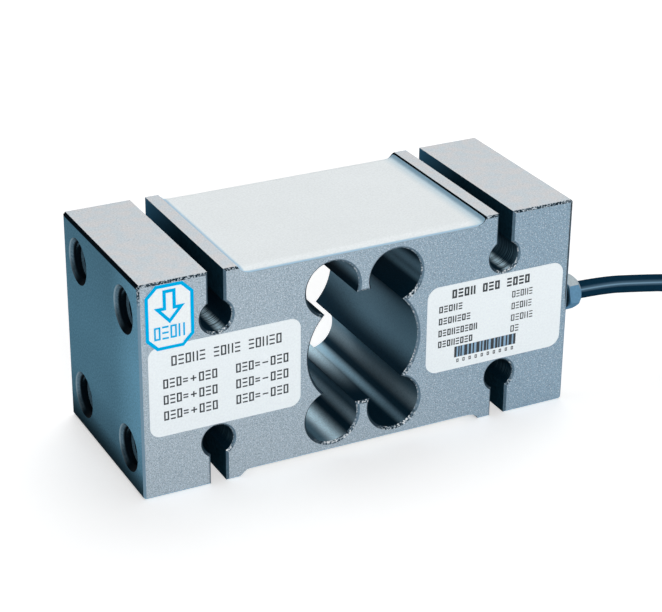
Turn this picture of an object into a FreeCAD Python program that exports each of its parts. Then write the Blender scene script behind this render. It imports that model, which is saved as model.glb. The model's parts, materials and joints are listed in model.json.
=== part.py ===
import FreeCAD, Part
import math
import os
import Sketcher

# Single point load cell: a machined aluminium spring element with sealed strain gauges and a cable.
# X runs along the block from the load end to the cable end, the labelled front faces -Y and Z is up.
# The origin is the middle of the block's underside.

Vector = FreeCAD.Vector

# Driving dimensions in millimetres, and one angle in degrees
SIZES = {
    # Block
    "block_length": 150.0,
    "block_width": 62.0,
    "block_height": 72.0,
    "edge_chamfer": 0.7,
    # Shallow recess over the bending webs, on the top and on the underside
    "recess_span": 85.8,
    "recess_depth": 2.7,
    "ramp_radius": 5.0,
    # Keyhole slots
    "slot_pitch": 100.0,
    "slot_width": 5.2,
    "slot_chamfer": 0.7,
    "keyhole_dia": 10.3,
    "keyhole_chamfer": 0.75,
    "keyhole_depth": 14.9,
    # Cut-out of one large bore and four lobes
    "main_bore_dia": 38.5,
    "lobe_dia": 18.0,
    "lobe_pitch": 22.0,
    "web_thickness": 2.1,
    "bore_chamfer": 0.8,
    # Tapped holes in both ends
    "bolt_dia": 12.0,
    "bolt_depth": 15.0,
    "bolt_chamfer": 1.65,
    "bolt_pitch_across": 38.0,
    "bolt_pitch_up": 47.0,
    # Cable port and wire passages
    "port_from_front": 9.0,
    "port_height": 34.5,
    "port_dia": 8.0,
    "port_depth": 8.6,
    "wire_bore_dia": 5.0,
    "passage_offset": 34.0,
    # Sealing compound in the recesses
    "fill_level": 1.4,
    "fill_film": 0.5,
    "fill_short": 0.35,
    "fill_inset": 0.2,
    "fill_edge_radius": 0.4,
    # Strain gauges
    "gauge_length": 9.0,
    "gauge_breadth": 6.0,
    "gauge_film": 0.1,
    "grid_length": 4.6,
    "grid_breadth": 4.0,
    "tab_size": 1.6,
    "tab_pitch": 2.8,
    "tab_edge": 0.5,
    "gauge_foil": 0.1,
    # Terminal board and its resistors
    "board_length": 8.0,
    "board_breadth": 10.0,
    "board_thickness": 0.6,
    "chip_length": 2.0,
    "chip_breadth": 1.2,
    "chip_height": 0.5,
    "chip_pitch": 7.2,
    # Wires
    "ribbon_width": 0.5,
    "ribbon_thickness": 0.15,
    "ribbon_pitch": 1.0,
    "riser_offset": 1.7,
    "riser_pitch": 0.7,
    "riser_bend": 1.0,
    "core_dia": 1.0,
    "core_row_pitch": 1.3,
    "core_bend": 3.0,
    # Cable gland, measured outward from the end face
    "hex_across": 10.2,
    "hex_turn": -14.0,
    "ring_thickness": 0.8,
    "ring_dia": 9.8,
    "shank_length": 8.0,
    "collar_length": 2.2,
    "stub_dia": 8.4,
    "gland_bore_dia": 6.2,
    "seat_dia": 7.4,
    "seat_depth": 2.4,
    "stub_clearance": 0.4,
    "nut_gap": 0.7,
    "nut_length": 4.8,
    "nut_wall": 1.6,
    "nut_face_radius": 4.5,
    "nut_back_radius": 5.4,
    # Cable and its coil
    "cable_dia": 6.0,
    "coil_columns": 3,
    "coil_layers": 5,
    "coil_inner_radius": 21.0,
    "tie_thickness": 0.5,
    "tie_width": 4.6,
    "tie_slack": 0.2,
    "tie_head": 6.0,
    "sleeve_dia": 6.6,
    "sleeve_slack": 0.1,
    "lead_dia": 1.3,
    "lead_pitch": 1.9,
    "lead_straight": 10.0,
    "tip_dia": 0.8,
    "tip_length": 6.0,
    # Labels
    "label_film": 0.12,
    "label_width": 50.2,
    "label_height": 30.2,
    "label_from_end": 2.6,
    "wiring_corner": 3.5,
    "rating_corner": 4.0,
    "arrow_label_width": 15.5,
    "arrow_label_height": 21.2,
    "arrow_label_from_top": 0.8,
    "arrow_label_from_end": 2.1,
    "arrow_label_overlap": 1.1,
    "arrow_label_cut": 3.5,
    "arrow_label_bridge": 0.4,
}

# Cable route from the end of the jacket inside the gland to the first turn of the coil,
# as distances beyond the block's end face, sideways from the port and above the floor
CABLE_ROUTE = [
    (-2.5, 0.0, 34.5),
    (17.5, 0.0, 34.5),
    (35.0, 0.0, 31.7),
    (51.5, 0.0, 28.6),
    (71.5, -5.5, 17.2),
    (92.5, -14.6, 3.5),
    (115.7, -20.8, 3.5),
]
ARC_SHARE = 0.45
# Direction, in degrees, from the coil's middle to the point where the cable meets its first turn
COIL_ENTRY_ANGLE = -105.0
# Angles from that point, the way the cable is wound, of the jacket's last stretch, the sleeve,
# the leads' tips and the tie
LAST_STRETCH_ANGLES = (-60.0, 90.0)
SLEEVE_ANGLES = (90.0, 130.0)
LEAD_TIP_ANGLE = 174.0
TIE_ANGLE = -90.0
# Largest share by which a swept solid's volume may differ from its section times its length
VOLUME_SHARE = 0.01
CORE_COLOURS = ("green", "black", "white", "red", "yellow", "blue")
# Places of the cores in their bundle, in steps of its pitch: two rows of three
CORE_GRID = [(row, column) for row in (0.5, -0.5) for column in (-1, 0, 1)]
# Leads from the innermost outward, with their directions from the middle of the bundle in degrees
LEAD_ORDER = (
    ("green_lead", 180.0),
    ("black_lead", 240.0),
    ("white_lead", 120.0),
    ("drain_wire", None),
    ("red_lead", 300.0),
    ("yellow_lead", 60.0),
    ("blue_lead", 0.0),
)

doc = FreeCAD.newDocument("single_point_load_cell")
sheet = doc.addObject("Spreadsheet::Sheet", "Sizes")
for row, (alias, value) in enumerate(SIZES.items(), start=1):
    sheet.set(f"A{row}", alias)
    sheet.set(f"B{row}", str(value))
    sheet.setAlias(f"B{row}", alias)
doc.recompute()

nodes = []


def size(alias):
    """Value of one driving dimension."""
    return float(sheet.get(alias))


def number(owner, expression):
    """Value of an expression on the driving dimensions."""
    result = owner.evalExpression(expression)
    return float(getattr(result, "Value", result))


# Bodies, sketches and features


def new_body(label):
    body = doc.addObject("PartDesign::Body", label)
    body.Label = label
    return body


def origin_plane(body, role):
    return next(item for item in body.Origin.OriginFeatures if item.Role == role)


def place(item, x="0", y="0", z="0", turn=None):
    """Bind an object's place to expressions; turn is an axis and an angle expression."""
    if turn is not None:
        axis, angle = turn
        item.Placement = FreeCAD.Placement(Vector(), FreeCAD.Rotation(axis, number(item, angle)))
        item.setExpression("Placement.Rotation.Angle", angle)
    for letter, expression in zip("xyz", (x, y, z)):
        item.setExpression(f"Placement.Base.{letter}", expression)


def new_sketch(body, name, role, offset=None):
    sketch = body.newObject("Sketcher::SketchObject", name)
    sketch.AttachmentSupport = [(origin_plane(body, role), "")]
    sketch.MapMode = "FlatFace"
    if offset is not None:
        sketch.setExpression("AttachmentOffset.Base.z", offset)
    return sketch


def bind(sketch, constraint, expression):
    index = sketch.addConstraint(constraint)
    sketch.setExpression(f"Constraints[{index}]", expression)


def bind_point(sketch, geometry, position, x, y):
    """Hold a point of the sketch at two expressions measured from the sketch's origin."""
    for kind, expression in (("DistanceX", x), ("DistanceY", y)):
        distance = number(sketch, expression)
        bind(sketch, Sketcher.Constraint(kind, -1, 1, geometry, position, distance), expression)


def circle(sketch, x, y, radius):
    centre = Vector(number(sketch, x), number(sketch, y))
    value = number(sketch, radius)
    geometry = sketch.addGeometry(Part.Circle(centre, Vector(0, 0, 1), value))
    bind_point(sketch, geometry, 3, x, y)
    bind(sketch, Sketcher.Constraint("Radius", geometry, value), radius)


def outline(sketch, corners, arcs=None):
    """Closed outline through corners, which are pairs of expressions.

    arcs maps the index of an edge, from its corner to the next, to (radius, centre x, centre y).
    """
    arcs = arcs or {}
    points = [Vector(number(sketch, x), number(sketch, y)) for x, y in corners]
    edges = []
    for index, start in enumerate(points):
        end = points[(index + 1) % len(points)]
        if index in arcs:
            radius, centre_x, centre_y = (number(sketch, item) for item in arcs[index])
            centre = Vector(centre_x, centre_y)
            middle = centre + ((start + end) * 0.5 - centre).normalize() * radius
            geometry = sketch.addGeometry(Part.Arc(start, middle, end))
            bind(sketch, Sketcher.Constraint("Radius", geometry, radius), arcs[index][0])
        else:
            geometry = sketch.addGeometry(Part.LineSegment(start, end))
        forward = sketch.getPoint(geometry, 1).isEqual(start, 1e-6)
        edges.append((geometry, 1, 2) if forward else (geometry, 2, 1))
    for index, (geometry, begin, finish) in enumerate(edges):
        following, following_begin, _ = edges[(index + 1) % len(edges)]
        sketch.addConstraint(Sketcher.Constraint("Coincident", geometry, finish, following, following_begin))
        bind_point(sketch, geometry, begin, *corners[index])


def rectangle(sketch, left, right, low, high):
    outline(sketch, [(left, low), (right, low), (right, high), (left, high)])


def rounded_rectangle(sketch, left, right, low, high, radius):
    inner_left, inner_right = f"{left} + {radius}", f"{right} - {radius}"
    inner_low, inner_high = f"{low} + {radius}", f"{high} - {radius}"
    corners = [
        (inner_left, low),
        (inner_right, low),
        (right, inner_low),
        (right, inner_high),
        (inner_right, high),
        (inner_left, high),
        (left, inner_high),
        (left, inner_low),
    ]
    arcs = {
        1: (radius, inner_right, inner_low),
        3: (radius, inner_right, inner_high),
        5: (radius, inner_left, inner_high),
        7: (radius, inner_left, inner_low),
    }
    outline(sketch, corners, arcs)


def hexagon(sketch, across):
    """Regular hexagon round the sketch's origin, with two corners on the vertical axis."""
    half, corner = f"({across}) / 2", f"({across}) / sqrt(3)"
    side = f"({corner}) / 2"
    outline(
        sketch,
        [
            ("0", f"-{corner}"),
            (half, f"-{side}"),
            (half, side),
            ("0", corner),
            (f"-{half}", side),
            (f"-{half}", f"-{side}"),
        ],
    )


def pad(body, name, sketch, length, both_ways=False):
    feature = body.newObject("PartDesign::Pad", name)
    feature.Profile = sketch
    feature.setExpression("Length", length)
    if both_ways:
        feature.SideType = "Symmetric"
    doc.recompute()
    return feature


def cut_feature(body, kind, name, sketch, set_up):
    """Add a feature that removes material, and make sure that it does."""
    before = body.Tip.Shape.Volume
    feature = body.newObject(kind, name)
    feature.Profile = sketch
    set_up(feature)
    doc.recompute()
    if feature.Shape.Volume >= before:
        raise RuntimeError(f"{name} removes nothing from {body.Label}")
    return feature


def pocket(body, name, sketch, length=None):
    """Pocket against the sketch's normal; without a length it goes through both ways."""

    def set_up(feature):
        if length is None:
            feature.Type = "ThroughAll"
            feature.SideType = "Symmetric"
        else:
            feature.setExpression("Length", length)

    return cut_feature(body, "PartDesign::Pocket", name, sketch, set_up)


def hole(body, name, sketch, diameter, depth=None, chamfer=None, pointed=False):
    """Round holes at the sketch's circles, through where no depth is given, with a 90 degree countersink."""

    def set_up(feature):
        doc.recompute()
        feature.DepthType = "ThroughAll" if depth is None else "Dimension"
        feature.setExpression("Diameter", diameter)
        if depth is not None:
            feature.setExpression("Depth", depth)
            feature.DrillPoint = "Angled" if pointed else "Flat"
        if chamfer is not None:
            feature.HoleCutType = "Countersink"
            feature.HoleCutCustomValues = True
            feature.HoleCutCountersinkAngle = 90
            feature.setExpression("HoleCutDiameter", f"{diameter} + 2 * {chamfer}")

    return cut_feature(body, "PartDesign::Hole", name, sketch, set_up)


def mirror(body, name, features, role):
    feature = body.newObject("PartDesign::Mirrored", name)
    feature.Originals = features
    feature.MirrorPlane = (origin_plane(body, role), [""])
    body.Tip = feature
    doc.recompute()
    return feature


def revolve(body, name, sketch, remove=False):
    """Turn a sketch on the XZ plane round the body's X axis."""

    def set_up(feature):
        feature.ReferenceAxis = (sketch, ["H_Axis"])
        feature.Angle = 360

    if remove:
        return cut_feature(body, "PartDesign::Groove", name, sketch, set_up)
    feature = body.newObject("PartDesign::Revolution", name)
    feature.Profile = sketch
    set_up(feature)
    doc.recompute()
    return feature


def shape_feature(label, shape):
    """Object for a form that neither a body nor a primitive gives, such as a routed wire."""
    item = doc.addObject("Part::Feature", label)
    item.Label = label
    item.Shape = shape
    item.Placement = FreeCAD.Placement()
    nodes.append(item)
    return item


# Places shared by several pieces

BLOCK_END = "Sizes.block_length / 2"
FRONT = "Sizes.block_width / 2"
PORT_Y = "(Sizes.port_from_front - Sizes.block_width / 2)"
RECESS_TOP_FLOOR = "Sizes.block_height - Sizes.recess_depth"
KEYHOLE_RISE = "(Sizes.block_height / 2 - Sizes.keyhole_depth)"
LOBE_RISE = "(Sizes.block_height / 2 - Sizes.recess_depth - Sizes.web_thickness - Sizes.lobe_dia / 2)"
FLOOR_HALF = (
    "(Sizes.recess_span / 2 - sqrt(Sizes.ramp_radius ^ 2 - (Sizes.ramp_radius - Sizes.recess_depth) ^ 2))"
)
X_AXIS = Vector(1, 0, 0)


# Spring element, drawn about the middle of the block


def build_spring_element():
    body = new_body("spring_element")
    place(body, z="Sizes.block_height / 2")
    half_height = "Sizes.block_height / 2"

    blank = new_sketch(body, "block_outline", "XZ_Plane")
    rectangle(blank, f"-{BLOCK_END}", BLOCK_END, f"-{half_height}", half_height)
    block = pad(body, "block", blank, "Sizes.block_width", both_ways=True)

    edges = body.newObject("PartDesign::Chamfer", "broken_edges")
    edges.Base = (block, [""])
    edges.UseAllEdges = True
    edges.setExpression("Size", "Sizes.edge_chamfer")
    doc.recompute()

    # Recesses on the top and the underside, with concave ends that run up to the block's face
    recesses = new_sketch(body, "recess_outline", "XZ_Plane")
    rim_half = "Sizes.recess_span / 2"
    for sign in ("", "-"):
        floor = f"{sign}({half_height} - Sizes.recess_depth)"
        rim = f"{sign}{half_height}"
        outside = f"{sign}({half_height} + Sizes.recess_depth)"
        centre = f"{sign}({half_height} - Sizes.recess_depth + Sizes.ramp_radius)"
        outline(
            recesses,
            [
                (f"-{FLOOR_HALF}", floor),
                (FLOOR_HALF, floor),
                (rim_half, rim),
                (rim_half, outside),
                (f"-{rim_half}", outside),
                (f"-{rim_half}", rim),
            ],
            {
                1: ("Sizes.ramp_radius", FLOOR_HALF, centre),
                5: ("Sizes.ramp_radius", f"-{FLOOR_HALF}", centre),
            },
        )
    pocket(body, "recesses", recesses)

    # Slots from the top down to the keyholes, flared where they leave the front and the back
    slots = new_sketch(body, "slot_outline", "XY_Plane", half_height)
    for side in ("-", ""):
        middle = f"{side}Sizes.slot_pitch / 2"
        narrow, wide = "Sizes.slot_width / 2", "(Sizes.slot_width / 2 + Sizes.slot_chamfer)"
        inner = "(Sizes.block_width / 2 - Sizes.slot_chamfer)"
        outline(
            slots,
            [
                (f"{middle} - {wide}", f"-{FRONT}"),
                (f"{middle} + {wide}", f"-{FRONT}"),
                (f"{middle} + {narrow}", f"-{inner}"),
                (f"{middle} + {narrow}", inner),
                (f"{middle} + {wide}", FRONT),
                (f"{middle} - {wide}", FRONT),
                (f"{middle} - {narrow}", inner),
                (f"{middle} - {narrow}", f"-{inner}"),
            ],
        )
    upper_slots = pocket(body, "upper_slots", slots, "Sizes.keyhole_depth")
    mirror(body, "lower_slots", [upper_slots], "XY_Plane")

    # Round ends of the keyholes, and the cut-out, each countersunk at the front and at the back
    keyholes = new_sketch(body, "keyhole_centres", "XZ_Plane", FRONT)
    lobes = new_sketch(body, "lobe_centres", "XZ_Plane", FRONT)
    for side in ("-", ""):
        for level in ("-", ""):
            keyhole_place = (f"{side}Sizes.slot_pitch / 2", f"{level}{KEYHOLE_RISE}")
            lobe_place = (f"{side}Sizes.lobe_pitch / 2", f"{level}{LOBE_RISE}")
            circle(keyholes, *keyhole_place, "Sizes.keyhole_dia / 2")
            circle(lobes, *lobe_place, "Sizes.lobe_dia / 2")
    main = new_sketch(body, "main_bore_centre", "XZ_Plane", FRONT)
    circle(main, "0", "0", "Sizes.main_bore_dia / 2")
    bores = [
        hole(body, "keyholes", keyholes, "Sizes.keyhole_dia", chamfer="Sizes.keyhole_chamfer"),
        hole(body, "main_bore", main, "Sizes.main_bore_dia", chamfer="Sizes.bore_chamfer"),
        hole(body, "lobes", lobes, "Sizes.lobe_dia", chamfer="Sizes.bore_chamfer"),
    ]
    mirror(body, "back_countersinks", bores, "XZ_Plane")

    # Tapped holes at both ends, at the thread's outer diameter
    bolts = new_sketch(body, "bolt_centres", "YZ_Plane", BLOCK_END)
    for side in ("-", ""):
        for level in ("-", ""):
            bolt_place = (f"{side}Sizes.bolt_pitch_across / 2", f"{level}Sizes.bolt_pitch_up / 2")
            circle(bolts, *bolt_place, "Sizes.bolt_dia / 2")
    fixed_end = hole(
        body, "fixed_end_bolts", bolts, "Sizes.bolt_dia", "Sizes.bolt_depth", "Sizes.bolt_chamfer", True
    )
    mirror(body, "load_end_bolts", [fixed_end], "YZ_Plane")

    # Cable port, and the wire passage that joins both recesses with it
    port_level = "Sizes.port_height - Sizes.block_height / 2"
    port = new_sketch(body, "port_centre", "YZ_Plane", BLOCK_END)
    circle(port, PORT_Y, port_level, "Sizes.port_dia / 2")
    hole(body, "cable_port", port, "Sizes.port_dia", "Sizes.port_depth")
    bore = new_sketch(body, "wire_bore_centre", "YZ_Plane", BLOCK_END)
    circle(bore, PORT_Y, port_level, "Sizes.wire_bore_dia / 2")
    hole(body, "wire_bore", bore, "Sizes.wire_bore_dia", f"{BLOCK_END} - Sizes.passage_offset")
    passage = new_sketch(body, "passage_centre", "XY_Plane")
    circle(passage, "Sizes.passage_offset", PORT_Y, "Sizes.wire_bore_dia / 2")
    pocket(body, "wire_passage", passage)
    nodes.append(body)


# Strain gauges and terminal board, drawn on the recess floor


def place_on_recess(item, upper, x="0", y="0"):
    """Seat an object on the floor of the upper recess, or turned over on the lower one."""
    if upper:
        place(item, x, y, RECESS_TOP_FLOOR)
    else:
        place(item, x, y, "Sizes.recess_depth", (X_AXIS, "180"))


def build_gauge(label, upper, side):
    """Foil gauge over one lobe: carrier film with its grid and two solder tabs."""
    body = new_body(label)
    place_on_recess(body, upper, f"{side}Sizes.lobe_pitch / 2")
    half_length, half_breadth = "Sizes.gauge_length / 2", "Sizes.gauge_breadth / 2"
    film = new_sketch(body, f"{label}_film_outline", "XY_Plane")
    rectangle(film, f"-{half_length}", half_length, f"-{half_breadth}", half_breadth)
    pad(body, f"{label}_film", film, "Sizes.gauge_film")
    foil = new_sketch(body, f"{label}_foil_outline", "XY_Plane", "Sizes.gauge_film")
    tab_right = "Sizes.gauge_length / 2 - Sizes.tab_edge"
    tab_left = f"{tab_right} - Sizes.tab_size"
    for level in ("-", ""):
        tab_middle = f"{level}Sizes.tab_pitch / 2"
        low, high = f"{tab_middle} - Sizes.tab_size / 2", f"{tab_middle} + Sizes.tab_size / 2"
        rectangle(foil, tab_left, tab_right, low, high)
    grid_right = f"{tab_left} - Sizes.tab_edge"
    grid_left = f"{grid_right} - Sizes.grid_length"
    rectangle(foil, grid_left, grid_right, "-Sizes.grid_breadth / 2", "Sizes.grid_breadth / 2")
    pad(body, f"{label}_foil", foil, "Sizes.gauge_foil")
    nodes.append(body)
    return body


def build_terminal_board():
    """Terminal board over the mouth of the wire passage, with a hole for each core."""
    body = new_body("terminal_board")
    place_on_recess(body, True, "Sizes.passage_offset", PORT_Y)
    half_length, half_breadth = "Sizes.board_length / 2", "Sizes.board_breadth / 2"
    board = new_sketch(body, "board_outline", "XY_Plane")
    rectangle(board, f"-{half_length}", half_length, f"-{half_breadth}", half_breadth)
    pad(body, "board", board, "Sizes.board_thickness")
    holes = new_sketch(body, "core_hole_centres", "XY_Plane")
    pitch = "Sizes.core_row_pitch"
    for row, column in CORE_GRID:
        circle(holes, f"{row} * {pitch}", f"{column} * {pitch}", "Sizes.core_dia / 2")
    pocket(body, "core_holes", holes)
    nodes.append(body)
    return body


def build_chip(label, side):
    """Compensation resistor soldered on the terminal board."""
    chip = doc.addObject("Part::Box", label)
    chip.Label = label
    for name in ("Length", "Breadth", "Height"):
        prop = "Width" if name == "Breadth" else name
        chip.setExpression(prop, f"Sizes.chip_{name.lower()}")
    place(
        chip,
        "Sizes.passage_offset - Sizes.chip_length / 2",
        f"{PORT_Y} {side} Sizes.chip_pitch / 2 - Sizes.chip_breadth / 2",
        f"{RECESS_TOP_FLOOR} + Sizes.board_thickness",
    )
    nodes.append(chip)
    return chip


# Wires and cable


def rounded_path(points, bend=None, report=None):
    """Straight runs joined by tangent arcs, as large as the runs allow where no bend is given."""
    edges = []
    start = points[0]
    for before, corner, after in zip(points, points[1:], points[2:]):
        run_in, run_out = corner - before, after - corner
        turn = run_in.getAngle(run_out)
        reach = ARC_SHARE * min(run_in.Length, run_out.Length)
        if bend is not None:
            reach = bend * math.tan(turn / 2)
        radius = reach / math.tan(turn / 2)
        into, out = Vector(run_in).normalize(), Vector(run_out).normalize()
        arc_start, arc_end = corner - into * reach, corner + out * reach
        centre = corner + (out - into).normalize() * (radius / math.cos(turn / 2))
        middle = centre + (corner - centre).normalize() * radius
        if (arc_start - start).Length > 1e-6:
            edges.append(Part.LineSegment(start, arc_start).toShape())
        edges.append(Part.Arc(arc_start, middle, arc_end).toShape())
        start = arc_end
        if report:
            print(f"{report}: turn {math.degrees(turn):.1f} degrees, radius {radius:.1f} mm")
    edges.append(Part.LineSegment(start, points[-1]).toShape())
    return Part.Wire(edges)


def disc(centre, axis, radius):
    return Part.Face(Part.Wire([Part.Circle(centre, axis, radius).toShape()]))


def swept(path, section):
    """Solid of a section carried along a path, with its volume compared."""
    solid = path.makePipe(section)
    expected = section.Area * path.Length
    if abs(solid.Volume / expected - 1) > VOLUME_SHARE:
        raise RuntimeError(f"sweep of volume {solid.Volume:.2f} instead of {expected:.2f}")
    return solid


def tube(points, diameter, bend=None, report=None):
    """Round wire or cable along a route."""
    section = disc(points[0], points[1] - points[0], diameter / 2)
    return swept(rounded_path(points, bend, report), section)


def ribbon(points, bend=None):
    """Flat wire along a route, lying flat on its first run."""
    up = Vector(0, 0, size("ribbon_thickness") / 2)
    across = (points[1] - points[0]).cross(up).normalize() * (size("ribbon_width") / 2)
    corners = [points[0] + offset for offset in (across + up, up - across, -across - up, across - up)]
    section = Part.Face(Part.makePolygon(corners + corners[:1]))
    return swept(rounded_path(points, bend), section)


def port_axis():
    """Centre of the cable port on the end face."""
    y = size("port_from_front") - size("block_width") / 2
    return Vector(size("block_length") / 2, y, size("port_height"))


def cable_points():
    """Points of the cable's route, straight out from the port and then aside to the coil."""
    mouth = port_axis()
    return [Vector(mouth.x + reach, mouth.y + side, height) for reach, side, height in CABLE_ROUTE]


def tab_places():
    """Solder tabs of the gauges on one recess floor, from the fixed end to the load end."""
    along = size("gauge_length") / 2 - size("tab_edge") - size("tab_size") / 2
    across = size("tab_pitch") / 2
    return [
        (side * size("lobe_pitch") / 2 + along, level * across) for side in (1, -1) for level in (1, -1)
    ]


def build_cores():
    """Insulated cores from the end of the cable jacket to the terminal board."""
    axis = port_axis()
    jacket_end = cable_points()[0].x
    passage = size("passage_offset")
    board_top = size("block_height") - size("recess_depth") + size("board_thickness")
    cores = []
    for colour, (row, column) in zip(CORE_COLOURS, CORE_GRID):
        along, across = row * size("core_row_pitch"), column * size("core_row_pitch")
        route = [
            Vector(jacket_end, axis.y + across, axis.z + along),
            Vector(passage + along, axis.y + across, axis.z + along),
            Vector(passage + along, axis.y + across, board_top),
        ]
        solid = tube(route, size("core_dia"), size("core_bend") - along)
        cores.append(shape_feature(f"{colour}_core", solid))
    return cores


def ribbon_lift():
    """Middle of a flat wire above the recess floor, where it lies on the gauges' foil."""
    return size("gauge_film") + size("gauge_foil") + size("ribbon_thickness") / 2


def build_upper_bridge_wires():
    """Flat wires from the terminal board's edge to the tabs of the upper gauges."""
    axis = port_axis()
    edge = size("passage_offset") - size("board_length") / 2 - size("ribbon_width") / 2
    level = size("block_height") - size("recess_depth") + ribbon_lift()
    first = axis.y + size("board_breadth") / 2 - size("ribbon_pitch")
    wires = []
    for index, (x, y) in enumerate(tab_places()):
        start = Vector(edge, first - index * size("ribbon_pitch"), level)
        wires.append(ribbon([start, Vector(x, y, level)]))
    return shape_feature("upper_bridge_wires", Part.makeCompound(wires))


def build_lower_bridge_wires():
    """Flat wires from the tabs of the lower gauges to the passage, and up it to the board."""
    axis = port_axis()
    low = size("recess_depth") - ribbon_lift()
    high = size("block_height") - size("recess_depth")
    x_riser = size("passage_offset") - size("riser_offset")
    places = tab_places()
    middle = (len(places) - 1) / 2
    wires = []
    for index, (x, y) in enumerate(places):
        y_riser = axis.y + (middle - index) * size("riser_pitch")
        route = [Vector(x, y, low), Vector(x_riser, y_riser, low), Vector(x_riser, y_riser, high)]
        wires.append(ribbon(route, size("riser_bend")))
    return shape_feature("lower_bridge_wires", Part.makeCompound(wires))


# Sealing compound, drawn on the recess floor and moulded round what it buries


def build_compound(label, upper, buried):
    name = f"{label}_body"
    body = new_body(name)
    place_on_recess(body, upper)
    radius, inner = "Sizes.ramp_radius", "(Sizes.ramp_radius - Sizes.fill_film)"
    top = "(Sizes.recess_depth - Sizes.fill_short)"
    cosine = f"(({radius} - {top}) / {radius})"
    sine = f"sqrt(1 - {cosine} ^ 2)"
    right = [
        (FLOOR_HALF, "0"),
        (f"{FLOOR_HALF} + {radius} * {sine}", top),
        (f"{FLOOR_HALF} + {inner} * {sine}", f"{radius} - {inner} * {cosine}"),
        (f"{FLOOR_HALF} + sqrt({inner} ^ 2 - ({radius} - Sizes.fill_level) ^ 2)", "Sizes.fill_level"),
    ]
    left = [(f"-({x})", z) for x, z in reversed(right)]
    profile = new_sketch(body, f"{label}_outline", "XZ_Plane")
    outline(
        profile,
        right + left,
        {
            0: (radius, FLOOR_HALF, radius),
            2: (inner, FLOOR_HALF, radius),
            4: (inner, f"-{FLOOR_HALF}", radius),
            6: (radius, f"-{FLOOR_HALF}", radius),
        },
    )
    fill = pad(body, f"{label}_fill", profile, "Sizes.block_width - 2 * Sizes.fill_inset", both_ways=True)
    rolled = body.newObject("PartDesign::Fillet", f"{label}_rolled_edges")
    rolled.Base = (fill, surface_edges(fill.Shape))
    rolled.setExpression("Radius", "Sizes.fill_edge_radius")
    doc.recompute()
    moulded = doc.addObject("Part::Cut", label)
    moulded.Label = label
    contents = doc.addObject("Part::MultiFuse", f"{label}_contents")
    contents.Shapes = buried
    moulded.Base = body
    moulded.Tool = contents
    doc.recompute()
    nodes.append(moulded)


def surface_edges(shape):
    """Front and back edges of the compound's surface: its level and the menisci at both ends."""
    half = size("block_width") / 2 - size("fill_inset")
    inner = size("ramp_radius") - size("fill_film")
    names = []
    for index, edge in enumerate(shape.Edges, start=1):
        at_side = all(abs(abs(vertex.Y) - half) < 1e-4 for vertex in edge.Vertexes)
        if isinstance(edge.Curve, Part.Circle):
            on_surface = abs(edge.Curve.Radius - inner) < 1e-4
        else:
            on_surface = all(abs(vertex.Z - size("fill_level")) < 1e-4 for vertex in edge.Vertexes)
        if at_side and on_surface:
            names.append(f"Edge{index}")
    return names


# Cable gland, drawn along X from the block's end face

COLLAR_END = "(Sizes.ring_thickness + Sizes.collar_length)"
NUT_START = f"({COLLAR_END} + Sizes.nut_gap)"
NUT_END = f"({NUT_START} + Sizes.nut_length)"
NUT_BOTTOM = f"({NUT_END} - Sizes.nut_wall)"
STUB_END = f"({NUT_BOTTOM} - Sizes.stub_clearance)"
SEAT_START = f"({STUB_END} - Sizes.seat_depth)"


def place_on_port(body):
    place(body, BLOCK_END, PORT_Y, "Sizes.port_height", (X_AXIS, "Sizes.hex_turn"))


def turned(body, name, corners, remove=False):
    sketch = new_sketch(body, f"{body.Label}_{name}_section", "XZ_Plane")
    outline(sketch, corners)
    return revolve(body, f"{body.Label}_{name}", sketch, remove)


def ring_section(start, end, inner, outer):
    return [(start, inner), (end, inner), (end, outer), (start, outer)]


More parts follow.
